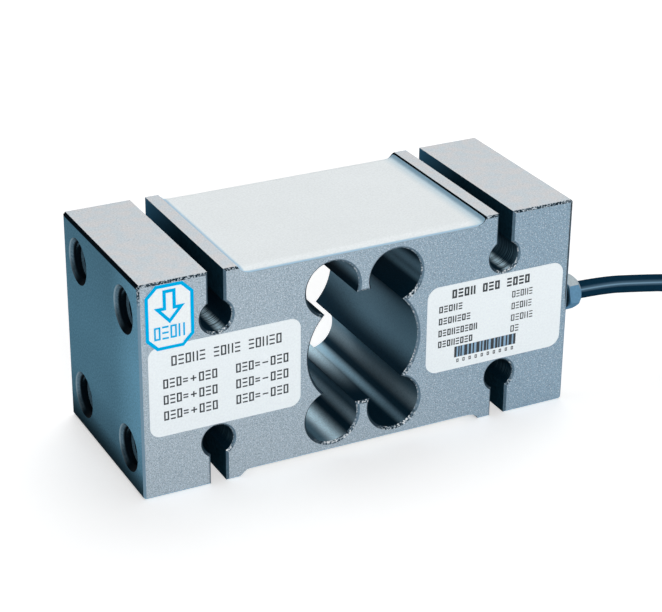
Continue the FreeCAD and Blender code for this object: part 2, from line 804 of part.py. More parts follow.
def build_gland():
    ring = new_body("gland_sealing_ring")
    place_on_port(ring)
    ring_inner = "Sizes.port_dia / 2"
    turned(ring, "ring", ring_section("0", "Sizes.ring_thickness", ring_inner, "Sizes.ring_dia / 2"))
    nodes.append(ring)

    body = new_body("gland_body")
    place_on_port(body)
    collar = new_sketch(body, "collar_outline", "YZ_Plane", "Sizes.ring_thickness")
    hexagon(collar, "Sizes.hex_across")
    pad(body, "collar", collar, "Sizes.collar_length")
    middle = "Sizes.ring_thickness + Sizes.collar_length / 2"
    stem = [
        ("-Sizes.shank_length", "0"),
        ("-Sizes.shank_length", "Sizes.port_dia / 2"),
        (middle, "Sizes.port_dia / 2"),
        (middle, "Sizes.stub_dia / 2"),
        (STUB_END, "Sizes.stub_dia / 2"),
        (STUB_END, "0"),
    ]
    turned(body, "stem", stem)
    bore = [
        ("-Sizes.shank_length", "0"),
        ("-Sizes.shank_length", "Sizes.gland_bore_dia / 2"),
        (SEAT_START, "Sizes.gland_bore_dia / 2"),
        (SEAT_START, "Sizes.seat_dia / 2"),
        (STUB_END, "Sizes.seat_dia / 2"),
        (STUB_END, "0"),
    ]
    turned(body, "bore", bore, remove=True)
    corner = "Sizes.hex_across / sqrt(3)"
    back = "Sizes.nut_back_radius"
    for name, face, inward in (("inner", "Sizes.ring_thickness", "+"), ("outer", COLLAR_END, "-")):
        bevel = [(face, back), (face, corner), (f"{face} {inward} ({corner} - {back})", corner)]
        turned(body, f"{name}_bevel", bevel, remove=True)
    nodes.append(body)

    seal = new_body("gland_seal")
    place_on_port(seal)
    turned(seal, "sleeve", ring_section(SEAT_START, NUT_BOTTOM, "Sizes.cable_dia / 2", "Sizes.seat_dia / 2"))
    nodes.append(seal)

    nut = new_body("gland_nut")
    place_on_port(nut)
    hex_outline = new_sketch(nut, "nut_outline", "YZ_Plane", NUT_START)
    hexagon(hex_outline, "Sizes.hex_across")
    pad(nut, "nut", hex_outline, "Sizes.nut_length")
    cable_hole = "Sizes.gland_bore_dia / 2"
    nut_bore = [
        (NUT_START, "0"),
        (NUT_START, "Sizes.stub_dia / 2"),
        (NUT_BOTTOM, "Sizes.stub_dia / 2"),
        (NUT_BOTTOM, cable_hole),
        (NUT_END, cable_hole),
        (NUT_END, "0"),
    ]
    turned(nut, "bore", nut_bore, remove=True)
    front = "Sizes.nut_face_radius"
    nose = [(NUT_END, front), (NUT_END, corner), (f"{NUT_END} - ({corner} - {front})", corner)]
    turned(nut, "nose", nose, remove=True)
    heel = [(NUT_START, back), (NUT_START, corner), (f"{NUT_START} + ({corner} - {back})", corner)]
    turned(nut, "heel", heel, remove=True)
    nodes.append(nut)


# Cable, and the coil of the length that is put away


def coil_centre():
    """Middle of the coil on the floor: the cable runs into its outermost turn."""
    start = cable_points()[-1]
    radius = coil_outer_radius() - size("cable_dia") / 2
    angle = math.radians(COIL_ENTRY_ANGLE)
    return Vector(start.x - radius * math.cos(angle), start.y - radius * math.sin(angle), 0)


def coil_outer_radius():
    return size("coil_inner_radius") + size("coil_columns") * size("cable_dia")


def coil_height():
    """Top of the full layers."""
    return size("tie_thickness") + size("coil_layers") * size("cable_dia")


def on_coil(radius, degrees, z):
    """Point at a radius from the coil's middle and an angle from the cable's entry."""
    angle = math.radians(COIL_ENTRY_ANGLE + degrees)
    return coil_centre() + Vector(radius * math.cos(angle), radius * math.sin(angle), z)


def axis_at(degrees):
    """Direction in which the cable runs at such an angle, counter-clockwise from above."""
    angle = math.radians(COIL_ENTRY_ANGLE + degrees)
    return Vector(-math.sin(angle), math.cos(angle), 0)


def ring_sector(inner, outer, low, high, start_degrees=0.0, sweep_degrees=360.0):
    """Ring of rectangular section round the coil's middle, whole or in part."""
    section = [(inner, low), (outer, low), (outer, high), (inner, high)]
    corners = [on_coil(radius, start_degrees, z) for radius, z in section]
    face = Part.Face(Part.makePolygon(corners + corners[:1]))
    return face.revolve(coil_centre(), Vector(0, 0, 1), sweep_degrees)


def build_cable_and_coil():
    diameter = size("cable_dia")
    cable = shape_feature("cable", tube(cable_points(), diameter, report="cable"))
    inner, top = size("coil_inner_radius"), coil_height()
    layers = ring_sector(inner, coil_outer_radius(), size("tie_thickness"), top)
    first_angle, last_angle = LAST_STRETCH_ANGLES
    stretch = ring_sector(
        inner, inner + 2 * diameter, top, top + diameter, first_angle, last_angle - first_angle
    )
    coil = layers.fuse(stretch).removeSplitter()
    shape_feature("cable_coil", coil.cut(cable.Shape))


def build_coil_tie():
    """Cable tie drawn tight round the coil's section, with its head on top."""
    body = new_body("coil_tie")
    turn = FreeCAD.Rotation(Vector(0, 0, 1), COIL_ENTRY_ANGLE + TIE_ANGLE)
    body.Placement = FreeCAD.Placement(coil_centre(), turn)
    wide = "(Sizes.coil_inner_radius + Sizes.coil_columns * Sizes.cable_dia)"
    full = "(Sizes.tie_thickness + Sizes.coil_layers * Sizes.cable_dia)"
    slack = "Sizes.tie_slack"

    def loop(sketch, grow, base):
        rectangle(sketch, f"Sizes.coil_inner_radius - {grow}", f"{wide} + {grow}", base, f"{full} + {grow}")

    band = new_sketch(body, "band_outline", "XZ_Plane")
    loop(band, f"({slack} + Sizes.tie_thickness)", "0")
    loop(band, slack, "Sizes.tie_thickness")
    pad(body, "band", band, "Sizes.tie_width", both_ways=True)
    head = new_sketch(body, "head_outline", "XZ_Plane")
    head_base = f"({full} + {slack})"
    head_left = "(Sizes.coil_inner_radius + Sizes.cable_dia)"
    rectangle(head, head_left, f"{head_left} + Sizes.tie_head", head_base, f"{head_base} + Sizes.tie_head / 2")
    pad(body, "head", head, "Sizes.tie_head", both_ways=True)
    nodes.append(body)


def build_cable_end():
    """Shrunk sleeve on the jacket's end, and the loose leads that lie on the coil beyond it."""
    sleeve_radius = size("sleeve_dia") / 2
    radius = size("coil_inner_radius") + size("cable_dia") + sleeve_radius + size("sleeve_slack")
    level = coil_height() + sleeve_radius + size("sleeve_slack")
    first_angle, last_angle = SLEEVE_ANGLES
    middle_angle = (first_angle + last_angle) / 2
    arc = Part.Arc(*[on_coil(radius, angle, level) for angle in (first_angle, middle_angle, last_angle)])
    section = disc(on_coil(radius, first_angle, level), axis_at(first_angle), sleeve_radius)
    shape_feature("cable_end_sleeve", Part.Wire([arc.toShape()]).makePipe(section))

    # The leads leave the sleeve as a ring round the drain wire and fan out side by side
    pitch = size("lead_pitch")
    innermost = size("coil_inner_radius") + 2 * size("lead_dia")
    tip_level = coil_height() + size("tip_dia") / 2 + size("sleeve_slack")
    tips = []
    for index, (name, direction) in enumerate(LEAD_ORDER):
        side, rise = 0.0, 0.0
        if direction is not None:
            side = pitch * math.cos(math.radians(direction))
            rise = pitch * math.sin(math.radians(direction))
        onset = on_coil(radius + side, last_angle, level + rise)
        corner = onset + axis_at(last_angle) * size("lead_straight")
        onward = on_coil(innermost + index * pitch, LEAD_TIP_ANGLE, tip_level) - corner
        stripped = corner + onward * (1 - size("tip_length") / onward.Length)
        shape_feature(name, tube([onset, corner, stripped], size("lead_dia"), report=name))
        if direction is not None:
            tips.append(Part.makeCylinder(size("tip_dia") / 2, size("tip_length"), stripped, onward))
    shape_feature("tinned_tips", Part.makeCompound(tips))


# Labels on the front face


def label_sketch(body, name, layers="0"):
    return new_sketch(body, name, "XZ_Plane", f"{FRONT} + {layers} * Sizes.label_film")


def build_labels():
    left = f"-{BLOCK_END} + Sizes.label_from_end"
    right = f"{BLOCK_END} - Sizes.label_from_end"
    top = "(Sizes.block_height - Sizes.arrow_label_from_top)"
    base = f"({top} - Sizes.arrow_label_height)"
    high = f"({base} + Sizes.arrow_label_overlap)"
    low = f"({high} - Sizes.label_height)"
    panels = (
        ("wiring_label", left, f"{left} + Sizes.label_width", "Sizes.wiring_corner"),
        ("rating_label", f"{right} - Sizes.label_width", right, "Sizes.rating_corner"),
    )
    for label, start, end, corner in panels:
        body = new_body(label)
        sketch = label_sketch(body, f"{label}_outline")
        rounded_rectangle(sketch, start, end, low, high, corner)
        pad(body, f"{label}_film", sketch, "Sizes.label_film")
        nodes.append(body)

    # The load arrow's label laps over the top of the wiring label
    body = new_body("load_arrow_label")
    start = f"-{BLOCK_END} + Sizes.arrow_label_from_end"
    end = f"{start} + Sizes.arrow_label_width"
    cut = "Sizes.arrow_label_cut"
    lap = f"({high} + Sizes.arrow_label_bridge)"
    side = f"({base} + {cut})"
    sheet_sketch = label_sketch(body, "arrow_label_outline")
    outline(
        sheet_sketch,
        [
            (f"{start} + ({side} - {high})", high),
            (f"{end} - ({side} - {high})", high),
            (end, side),
            (end, f"{top} - {cut}"),
            (f"{end} - {cut}", top),
            (f"{start} + {cut}", top),
            (start, f"{top} - {cut}"),
            (start, side),
        ],
    )
    pad(body, "arrow_label_sheet", sheet_sketch, "Sizes.label_film")
    lap_sketch = label_sketch(body, "arrow_label_lap_outline", "1")
    outline(
        lap_sketch,
        [
            (f"{start} + {cut}", base),
            (f"{end} - {cut}", base),
            (f"{end} - ({side} - {lap})", lap),
            (f"{start} + ({side} - {lap})", lap),
        ],
    )
    pad(body, "arrow_label_lap", lap_sketch, "Sizes.label_film")
    nodes.append(body)


# Assembly

build_spring_element()
upper_load = build_gauge("upper_load_gauge", True, "-")
upper_fixed = build_gauge("upper_fixed_gauge", True, "")
lower_load = build_gauge("lower_load_gauge", False, "-")
lower_fixed = build_gauge("lower_fixed_gauge", False, "")
board = build_terminal_board()
zero_chip = build_chip("zero_balance_resistor", "+")
span_chip = build_chip("span_resistor", "-")
cores = build_cores()
upper_wires = build_upper_bridge_wires()
lower_wires = build_lower_bridge_wires()
upper_contents = [upper_load, upper_fixed, board, zero_chip, span_chip, upper_wires] + cores
build_compound("upper_compound", True, upper_contents)
build_compound("lower_compound", False, [lower_load, lower_fixed, lower_wires])
build_gland()
build_cable_and_coil()
build_coil_tie()
build_cable_end()
build_labels()
doc.recompute()

# Every object has to be sound before anything is written

for item in doc.Objects:
    if "Invalid" in item.State or "Error" in item.State:
        raise RuntimeError(f"{item.Name} failed: {item.State}")
for node in nodes:
    if node.Shape.isNull() or not node.Shape.isValid():
        raise RuntimeError(f"{node.Label} has no valid shape")

os.makedirs("parts", exist_ok=True)
for node in nodes:
    node.Shape.exportStep(f"parts/{node.Label}.step")
print(f"{len(nodes)} nodes written")
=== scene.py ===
import json
import math
from typing import NamedTuple

import bpy
from mathutils import Matrix, Vector, noise


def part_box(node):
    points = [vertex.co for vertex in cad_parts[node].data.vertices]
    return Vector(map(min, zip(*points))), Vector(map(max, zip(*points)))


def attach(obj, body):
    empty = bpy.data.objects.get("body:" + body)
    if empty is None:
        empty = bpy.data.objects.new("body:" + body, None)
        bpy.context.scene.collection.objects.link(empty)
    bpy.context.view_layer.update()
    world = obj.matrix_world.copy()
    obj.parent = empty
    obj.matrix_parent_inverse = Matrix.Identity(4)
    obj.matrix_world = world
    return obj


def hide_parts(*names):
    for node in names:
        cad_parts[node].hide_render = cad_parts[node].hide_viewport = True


# Single point load cell: finishes, cable, threads, sealing compound and label print around the frame.
# X runs along the block from the load end to the cable end, the labelled front faces -Y and Z is up.

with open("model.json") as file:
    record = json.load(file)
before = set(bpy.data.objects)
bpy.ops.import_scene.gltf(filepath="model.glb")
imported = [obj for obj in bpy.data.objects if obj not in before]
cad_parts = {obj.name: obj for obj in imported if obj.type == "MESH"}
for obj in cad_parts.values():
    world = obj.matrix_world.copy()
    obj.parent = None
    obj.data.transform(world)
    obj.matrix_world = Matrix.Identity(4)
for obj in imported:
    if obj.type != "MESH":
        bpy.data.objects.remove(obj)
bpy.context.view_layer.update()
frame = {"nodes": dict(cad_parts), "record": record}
nodes = frame["nodes"]
scene = bpy.context.scene


# Sizes of the block that the finishes and pieces follow, in metres
BLOCK_END, BLOCK_HALF_WIDTH, BLOCK_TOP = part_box("spring_element")[1]
MAIN_BORE_RADIUS = 0.01925
LOBE_RADIUS = 0.009
LOBE_ALONG = 0.011
LOBE_HEIGHTS = (0.0138, BLOCK_TOP - 0.0138)
SLOT_ALONG = 0.050
SLOT_REACH = 0.004
KEYHOLE_RADIUS = 0.00515
KEYHOLE_HEIGHTS = (0.0149, BLOCK_TOP - 0.0149)
BOLT_ACROSS = 0.019
BOLT_HEIGHTS = (BLOCK_TOP / 2 - 0.0235, BLOCK_TOP / 2 + 0.0235)
BOLT_RADIUS = 0.006
BOLT_DEPTH = 0.015
BOLT_CHAMFER = 0.00165
RECESS_DEPTH = 0.0027

# Distances from the block's edges at which its finishes change, and of the painted shade lines along its
# edges, in metres
EDGE_WIDTH = 0.001
RIM_FLECKS = (0.0003, 0.0007)
DARK_MARGIN = (0.0015, 0.0011)
CABLE_END_SHADE_LINE = (0.0013, 0.0010)


# Camera at the photograph's viewing angle, its lens worked out for the photograph's frame of 662 by 612
# pixels
PHOTO_WIDTH = 662
FOCAL_PIXELS = 2055.25
SENSOR_WIDTH = 36.0
CAMERA_PLACE = Vector((-0.27044, -0.53496, 0.32567))
CAMERA_FORWARD = Vector((0.41123, 0.80145, -0.43424))
CAMERA_DOWN = Vector((-0.18945, -0.39083, -0.90075))


def make_camera():
    data = bpy.data.cameras.new("photo_camera")
    data.sensor_width = SENSOR_WIDTH
    data.lens = FOCAL_PIXELS / PHOTO_WIDTH * SENSOR_WIDTH
    camera = bpy.data.objects.new("photo_camera", data)
    right = CAMERA_DOWN.cross(CAMERA_FORWARD)
    turn = Matrix((right, -CAMERA_DOWN, -CAMERA_FORWARD)).transposed()
    camera.matrix_world = Matrix.Translation(CAMERA_PLACE) @ turn.to_4x4()
    scene.collection.objects.link(camera)
    scene.camera = camera


# Cable: out of the gland, down to the floor and into a tied coil
CABLE_DIAMETER = 0.006
CABLE_ROUTE = [
    (0.0725, -0.0220, 0.0345),
    (0.0925, -0.0220, 0.0345),
    (0.1100, -0.0220, 0.0317),
    (0.1265, -0.0220, 0.0286),
    (0.1465, -0.0275, 0.0172),
    (0.1675, -0.0366, 0.0035),
    (0.1907, -0.0428, 0.0035),
]
CABLE_BEVEL = 5
COIL_COLUMNS = 3
COIL_LAYERS = 5
COIL_ENTRY_ANGLE = math.radians(-105)
POINTS_PER_TURN = 16
# Shares of a turn in which the cable steps to the next turn, and in which it lies on top of the coil
STEP_SHARE = 1 / 6
TOP_SHARE = 1 / 4
SPLINE_STEPS = 8
SPLINE_ORDER = 3
# A spline of order 3 runs at this share of the radius of its ring of control points
SPLINE_PULL = (3 + math.cos(2 * math.pi / POINTS_PER_TURN)) / 4
SLEEVE_RADIUS = 0.0033
SLEEVE_SLACK = 0.0001


def coil_turns():
    """Column and layer of each turn, with the layers wound inward and outward in turn."""
    turns = []
    for layer in range(COIL_LAYERS):
        columns = list(range(COIL_COLUMNS))
        if layer % 2:
            columns.reverse()
        turns += [(column, layer) for column in columns]
    return turns


def eased(share):
    """Share from 0 to 1 with a gentle start and end."""
    share = min(1.0, max(0.0, share))
    return share * share * (3 - 2 * share)


def coil_points():
    """Control points round the coil, which steps to the next turn in the last part of each one."""
    low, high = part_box("cable_coil")
    centre = (low + high) / 2
    outer = (high.x - low.x) / 2

    def place(column, layer):
        return outer - (column + 0.5) * CABLE_DIAMETER, low.z + (layer + 0.5) * CABLE_DIAMETER

    stops = [place(*turn) for turn in coil_turns()]
    turns = len(stops)
    stops.append(place(COIL_COLUMNS - 1, COIL_LAYERS))
    full_layers = low.z + COIL_LAYERS * CABLE_DIAMETER
    inside_sleeve = outer - (COIL_COLUMNS - 1) * CABLE_DIAMETER + SLEEVE_RADIUS + SLEEVE_SLACK
    stops.append((inside_sleeve, full_layers + SLEEVE_RADIUS + SLEEVE_SLACK))
    points = []
    count = round((turns + TOP_SHARE) * POINTS_PER_TURN)
    for index in range(1, count + 1):
        turn, part = divmod(index, POINTS_PER_TURN)
        part /= POINTS_PER_TURN
        share = eased(part / TOP_SHARE) if turn == turns else eased((part - 1 + STEP_SHARE) / STEP_SHARE)
        radius, height = (
            now + (after - now) * share for now, after in zip(stops[turn], stops[turn + 1])
        )
        if index < count:
            radius /= SPLINE_PULL
        angle = COIL_ENTRY_ANGLE + 2 * math.pi * index / POINTS_PER_TURN
        points.append((centre.x + radius * math.cos(angle), centre.y + radius * math.sin(angle), height))
    return points


def make_cable(material):
    curve = bpy.data.curves.new("cable_jacket", "CURVE")
    curve.dimensions = "3D"
    curve.bevel_depth = CABLE_DIAMETER / 2
    curve.bevel_resolution = CABLE_BEVEL
    curve.resolution_u = SPLINE_STEPS
    curve.use_fill_caps = True
    spline = curve.splines.new("NURBS")
    points = CABLE_ROUTE + coil_points()
    spline.points.add(len(points) - 1)
    for point, place in zip(spline.points, points):
        point.co = (*place, 1.0)
    spline.order_u = SPLINE_ORDER
    spline.use_endpoint_u = True
    curve.materials.append(material)
    cable = bpy.data.objects.new("cable_jacket", curve)
    scene.collection.objects.link(cable)
    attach(cable, "root")
    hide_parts("cable", "cable_coil")
    on_cable = ["gland_sealing_ring", "gland_body", "gland_seal", "gland_nut"]
    on_cable += ["coil_tie", "cable_end_sleeve"]
    on_cable += [name for name in nodes if name.endswith("_lead")]
    on_cable += ["drain_wire", "tinned_tips"]


# Grain of most finishes in metres, its detail, how much broader patches are, and how far roughness varies
FINE_GRAIN = 0.0006
FINE_DETAIL = 3.0
PATCH_FACTOR = 40
ROUGHNESS_SPREAD = 0.06
# Levels between which nearly all of a noise lies
NOISE_LOW = 0.3
NOISE_HIGH = 0.7
# Share of a speck's radius in which it has its full strength
SPECK_CORE = 0.4


def tint(red, green, blue):
    """Linear colour of an sRGB one given from 0 to 255."""

    def linear(value):
        share = value / 255
        return share / 12.92 if share <= 0.04045 else ((share + 0.055) / 1.055) ** 2.4

    return (linear(red), linear(green), linear(blue), 1.0)


def shade(colour, factor):
    return (colour[0] * factor, colour[1] * factor, colour[2] * factor, 1.0)


class Finish:
    """A material in the making, with short forms for the nodes that it is built from."""

    def __init__(self, name, gloss=0.5, **constants):
        self.material = bpy.data.materials.new(name)
        self.material.use_nodes = True
        self.tree = self.material.node_tree
        self.shader = self.tree.nodes["Principled BSDF"]
        self.source = self.node("TexCoord")
        self.place = self.source.outputs["Object"]
        self.shader.inputs["Specular IOR Level"].default_value = gloss
        for socket, value in constants.items():
            self.shader.inputs[socket.title()].default_value = value

    def node(self, kind, inputs=None, **settings):
        made = self.tree.nodes.new("ShaderNode" + kind)
        for setting, value in settings.items():
            setattr(made, setting, value)
        for socket, value in (inputs or {}).items():
            if isinstance(value, bpy.types.NodeSocket):
                self.tree.links.new(value, made.inputs[socket])
            else:
                made.inputs[socket].default_value = value
        return made

    def link(self, socket, value):
        self.tree.links.new(value, self.shader.inputs[socket])

    def base(self):
        return self.shader.inputs["Base Color"].links[0].from_socket

    def axes(self, source="Object"):
        """Place on the part, or with source Normal the way that the surface looks, along X, Y and Z."""
        return self.node("SeparateXYZ", {0: self.source.outputs[source]}).outputs

    def noise(self, size, detail=2.0, stretch=(1, 1, 1)):
        """Noise whose grains are about the given size in metres, longer along an axis by its stretch."""
        scaled = self.node("Mapping", {"Vector": self.place, "Scale": [1 / (size * s) for s in stretch]})
        grain = self.node("TexNoise", {"Vector": scaled.outputs[0], "Scale": 1.0, "Detail": detail})
        return grain.outputs["Fac"]

    def dots(self, spacing, radius, strength):
        """Round specks scattered over the front and back, used as painted glints."""
        place = self.axes()
        flat = self.node("CombineXYZ", {"X": place["X"], "Y": place["Z"]}).outputs[0]
        cells = self.node("TexVoronoi", {"Vector": flat, "Scale": 1 / spacing}, voronoi_dimensions="2D")
        reach = radius / spacing
        return self.span(cells.outputs["Distance"], SPECK_CORE * reach, reach, strength, 0.0)

    def ramp(self, factor, *stops):
        """Colours along a factor: each stop is a position and a colour or a grey level."""
        made = self.node("ValToRGB", {"Fac": factor})
        elements = made.color_ramp.elements
        while len(elements) < len(stops):
            elements.new(0.5)
        for element, (position, colour) in zip(elements, stops):
            element.position = position
            element.color = colour if isinstance(colour, tuple) else (colour, colour, colour, 1.0)
        return made.outputs["Color"]

    def graded(self, grain, first, last):
        """Colours or grey levels that a noise spreads between."""
        return self.ramp(grain, (NOISE_LOW, first), (NOISE_HIGH, last))

    def span(self, value, start, end, first=0.0, last=1.0):
        """Smooth change from a first to a last number while a value goes from its start to its end."""
        inputs = {"Value": value, "From Min": start, "From Max": end, "To Min": first, "To Max": last}
        return self.node("MapRange", inputs, interpolation_type="SMOOTHSTEP").outputs[0]

    def mix(self, factor, first, second, blend="MIX"):
        """Mix of two colours, whose sockets are the node's seventh and eighth."""
        inputs = {0: factor, 6: first, 7: second}
        return self.node("Mix", inputs, data_type="RGBA", blend_type=blend).outputs[2]

    def times(self, first, second):
        """Product of two colours."""
        return self.mix(1.0, first, second, "MULTIPLY")

    def math(self, operation, first, second=0.0, third=0.0):
        return self.node("Math", {0: first, 1: second, 2: third}, operation=operation).outputs[0]

    def bump(self, height, depth):
        """Relief of a real depth in metres."""
        made = self.node("Bump", {"Height": height, "Distance": depth, "Strength": 1.0})
        self.link("Normal", made.outputs[0])


def grained(name, colour, spread, roughness, metallic=0.0, gloss=0.5, grain=FINE_GRAIN, relief=0.0):
    """Finish of one colour whose tone and gloss vary with a fine grain and with broad patches."""
    finish = Finish(name, gloss, metallic=metallic)
    fine = finish.noise(grain, FINE_DETAIL)
    broad = finish.noise(grain * PATCH_FACTOR)
    tone = finish.graded(fine, shade(colour, 1 - spread), shade(colour, 1 + spread))
    patch = finish.graded(broad, 1 - spread / 2, 1.0)
    finish.link("Base Color", finish.times(tone, patch))
    rough = finish.graded(fine, roughness + ROUGHNESS_SPREAD, roughness - ROUGHNESS_SPREAD)
    finish.link("Roughness", rough)
    if relief:
        finish.bump(fine, relief)
    return finish


# Blasted front and back: lag at the foot of the painted light's change toward the cable end, sizes of grains
# and of the specks of the painted glints, and relief, in metres
LIGHT_FALLOFF_LAG = 0.03
LIGHT_FALLOFF_START = 0.02
BLAST_GRAIN = 0.00032
DARK_GRAIN = 0.0004
GLINT_GRAIN = 0.00036
GLINT_SPACING = 0.0015
GLINT_RADIUS = 0.00022
BLAST_RELIEF = 0.00003


def blasted_metal():
    """Front and back: fine blasted aluminium with grains, painted light bluer toward the cable end and later
    so low down, painted glints, and painted shade high on the cable-end edge.
    """
    finish = Finish("blasted_aluminium", metallic=0.45)
    place = finish.axes()
    x, z = place["X"], place["Z"]
    # Painted light: paler toward the load end, bluer and darker toward the cable end, the change coming
    # later low down
    low = finish.span(z, 0.0, BLOCK_TOP / 2, LIGHT_FALLOFF_LAG, 0.0)
    middle = finish.span(x, LIGHT_FALLOFF_START, BLOCK_END, 1.0, 0.0)
    light_lag = finish.math("MULTIPLY", low, middle)
    share = finish.span(finish.math("SUBTRACT", x, light_lag), -BLOCK_END, BLOCK_END)
    colour = finish.mix(share, tint(161, 176, 187), tint(133, 158, 176))
    fine = finish.noise(BLAST_GRAIN, FINE_DETAIL)
    colour = finish.times(colour, finish.graded(fine, 0.6, 1.4))
    dark = finish.ramp(finish.noise(DARK_GRAIN, stretch=(1.2, 1, 1)), (0.3, 0.6), (0.38, 0.0))
    colour = finish.mix(dark, colour, tint(92, 112, 128))
    # Painted glints: bright grains and round specks
    painted_glint = finish.ramp(finish.noise(GLINT_GRAIN), (0.62, 0.0), (0.7, 0.7))
    painted_glint = finish.math("MAXIMUM", painted_glint, finish.dots(GLINT_SPACING, GLINT_RADIUS, 0.5))
    colour = finish.mix(painted_glint, colour, tint(226, 232, 238))
    # Painted shade: a dark line high up along the cable-end edge
    high = finish.span(z, 0.45 * BLOCK_TOP, 0.55 * BLOCK_TOP)
    cable_end_shade = finish.span(x, BLOCK_END - CABLE_END_SHADE_LINE[0], BLOCK_END - CABLE_END_SHADE_LINE[1])
    painted_shade_line = finish.math("MULTIPLY", high, cable_end_shade)
    finish.link("Base Color", finish.mix(painted_shade_line, colour, tint(34, 44, 52)))
    finish.link("Roughness", finish.graded(fine, 0.56, 0.44))
    finish.bump(fine, BLAST_RELIEF)
    return finish.material


# Ground top and underside: sizes of the mottling, grain and specks, and the relief, in metres
MOTTLE_SIZE = 0.004
GROUND_GRAIN = 0.0005
GROUND_DETAIL = 4.0
GROUND_SPECKS = 0.0007
GROUND_RELIEF = 0.00001


def satin_metal():
    """Top and underside: ground aluminium with faint mottling and fine dark specks."""
    finish = Finish("satin_aluminium", metallic=0.35, roughness=0.45)
    mottle = finish.ramp(finish.noise(MOTTLE_SIZE, GROUND_DETAIL), (0.4, 0.0), (0.6, 1.0))
    colour = finish.mix(mottle, tint(176, 185, 191), tint(185, 186, 188))
    fine = finish.noise(GROUND_GRAIN, GROUND_DETAIL)
    colour = finish.times(colour, finish.graded(fine, 0.82, 1.18))
    specks = finish.ramp(finish.noise(GROUND_SPECKS), (0.26, 0.6), (0.34, 0.0))
    finish.link("Base Color", finish.mix(specks, colour, tint(112, 134, 150)))
    finish.bump(fine, GROUND_RELIEF)
    return finish.material


# End faces: grain, and the place across the block where their painted shade stops growing deeper, in metres
END_GRAIN = 0.0005
END_SHADE_STOP = -0.006


def shaded_end_metal():
    """End faces: fine milled aluminium in painted shade, darker and bluer than the front, deeper toward the
    back and the floor, near black along the top edge.
    """
    finish = grained("end_aluminium", tint(96, 143, 167), 0.1, 0.5, gloss=0.0, grain=END_GRAIN)
    place = finish.axes()
    y, z = place["Y"], place["Z"]
    height = finish.span(z, 0.0, BLOCK_TOP)
    # Painted shade: deeper toward the floor and a little under the top, lighter toward the front, and a
    # near-black line along the top edge
    painted_shade_fall = finish.ramp(height, (0.0, 0.1), (0.045, 0.65), (0.2, 0.95), (0.6, 1.0), (1.0, 0.85))
    front = finish.span(y, -BLOCK_HALF_WIDTH, END_SHADE_STOP, 1.75, 1.12)
    colour = finish.times(finish.times(finish.base(), painted_shade_fall), front)
    colour = finish.times(colour, finish.graded(finish.noise(FINE_GRAIN), 0.8, 1.2))
    painted_shade_line = finish.span(z, BLOCK_TOP - DARK_MARGIN[0], BLOCK_TOP - DARK_MARGIN[1])
    finish.link("Base Color", finish.mix(painted_shade_line, colour, tint(10, 20, 26)))
    return finish.material


SLOT_GRAIN = 0.0012


def shaded_slot_metal():
    """Walls of the sawn slots: painted shade near black, with painted light paler toward the open back."""
    finish = grained("slot_aluminium", tint(22, 52, 67), 0.25, 0.5, gloss=0.0, grain=SLOT_GRAIN)
    # Painted light: paler toward the open back of the slot
    back = finish.span(finish.axes()["Y"], 0.0, BLOCK_HALF_WIDTH)
    finish.link("Base Color", finish.mix(back, finish.base(), tint(62, 112, 140)))
    return finish.material


def flare_metal():
    """Flared edges of the slots."""
    return grained("flare_aluminium", tint(84, 110, 127), 0.2, 0.45, metallic=0.2, gloss=0.2).material


# Walls of the bores: grain, tool rings, their relief, and half the depth in which a painted reflection
# turns, in metres
BORE_GRAIN = 0.0004
RING_SIZE = 0.00035
RING_STRETCH = 60
RING_RELIEF = 0.00003
TURN_HALF = 0.020


def reflection_painted_metal(name, along, height, reflections, ringed=False):
    """Wall of a bore: painted shade near black, with painted reflections where it mirrors a light, crossed
    by rings if drilled rough.
    """
    finish = Finish(name, gloss=0.0, metallic=0.3, roughness=0.4)
    x, y, z = finish.axes()
    angle = finish.math("ARCTAN2", finish.math("SUBTRACT", z, height), finish.math("SUBTRACT", x, along))
    grain = finish.noise(BORE_GRAIN, FINE_DETAIL, stretch=(1, 2, 1))
    colour = finish.graded(grain, shade(BORE_SHADE_TONE, 0.8), shade(BORE_SHADE_TONE, 1.2))
    rings = finish.noise(RING_SIZE, 1.0, stretch=(RING_STRETCH, 1, RING_STRETCH))
    if ringed:
        uneven = finish.span(rings, 0.35, 0.6, 0.15, 1.0)
    else:
        uneven = finish.span(grain, 0.25, 0.65, 0.78, 1.0)
    # Painted reflections: each a band of tone along the wall at the heading where it mirrors a light
    for heading, half_width, tone, front, back, turn in reflections:
        apart = finish.math("SUBTRACT", angle, math.radians(heading))
        apart = finish.math("ABSOLUTE", finish.math("WRAP", apart, math.pi, -math.pi))
        beam = finish.span(apart, 0.0, math.radians(half_width), 1.0, 0.0)
        depth = finish.span(y, turn - TURN_HALF, turn + TURN_HALF, front, back)
        strength = finish.math("MULTIPLY", finish.math("MULTIPLY", beam, depth), uneven)
        colour = finish.mix(strength, colour, tone)
    finish.link("Base Color", colour)
    finish.bump(rings, RING_RELIEF)
    return finish.material


# Sizes of the flecks on the bores' rims and on the block's edges, and of the patches on the rims, in metres
RIM_FLECK_SIZE = 0.0007
EDGE_FLECK_SIZE = 0.0005
RIM_PATCH = 0.008


def flecks(finish, size, dark, middle, light):
    """Broken pattern of dark and light where a tool left an edge."""
    return finish.ramp(finish.noise(size, FINE_DETAIL), (0.38, dark), (0.5, middle), (0.64, light))


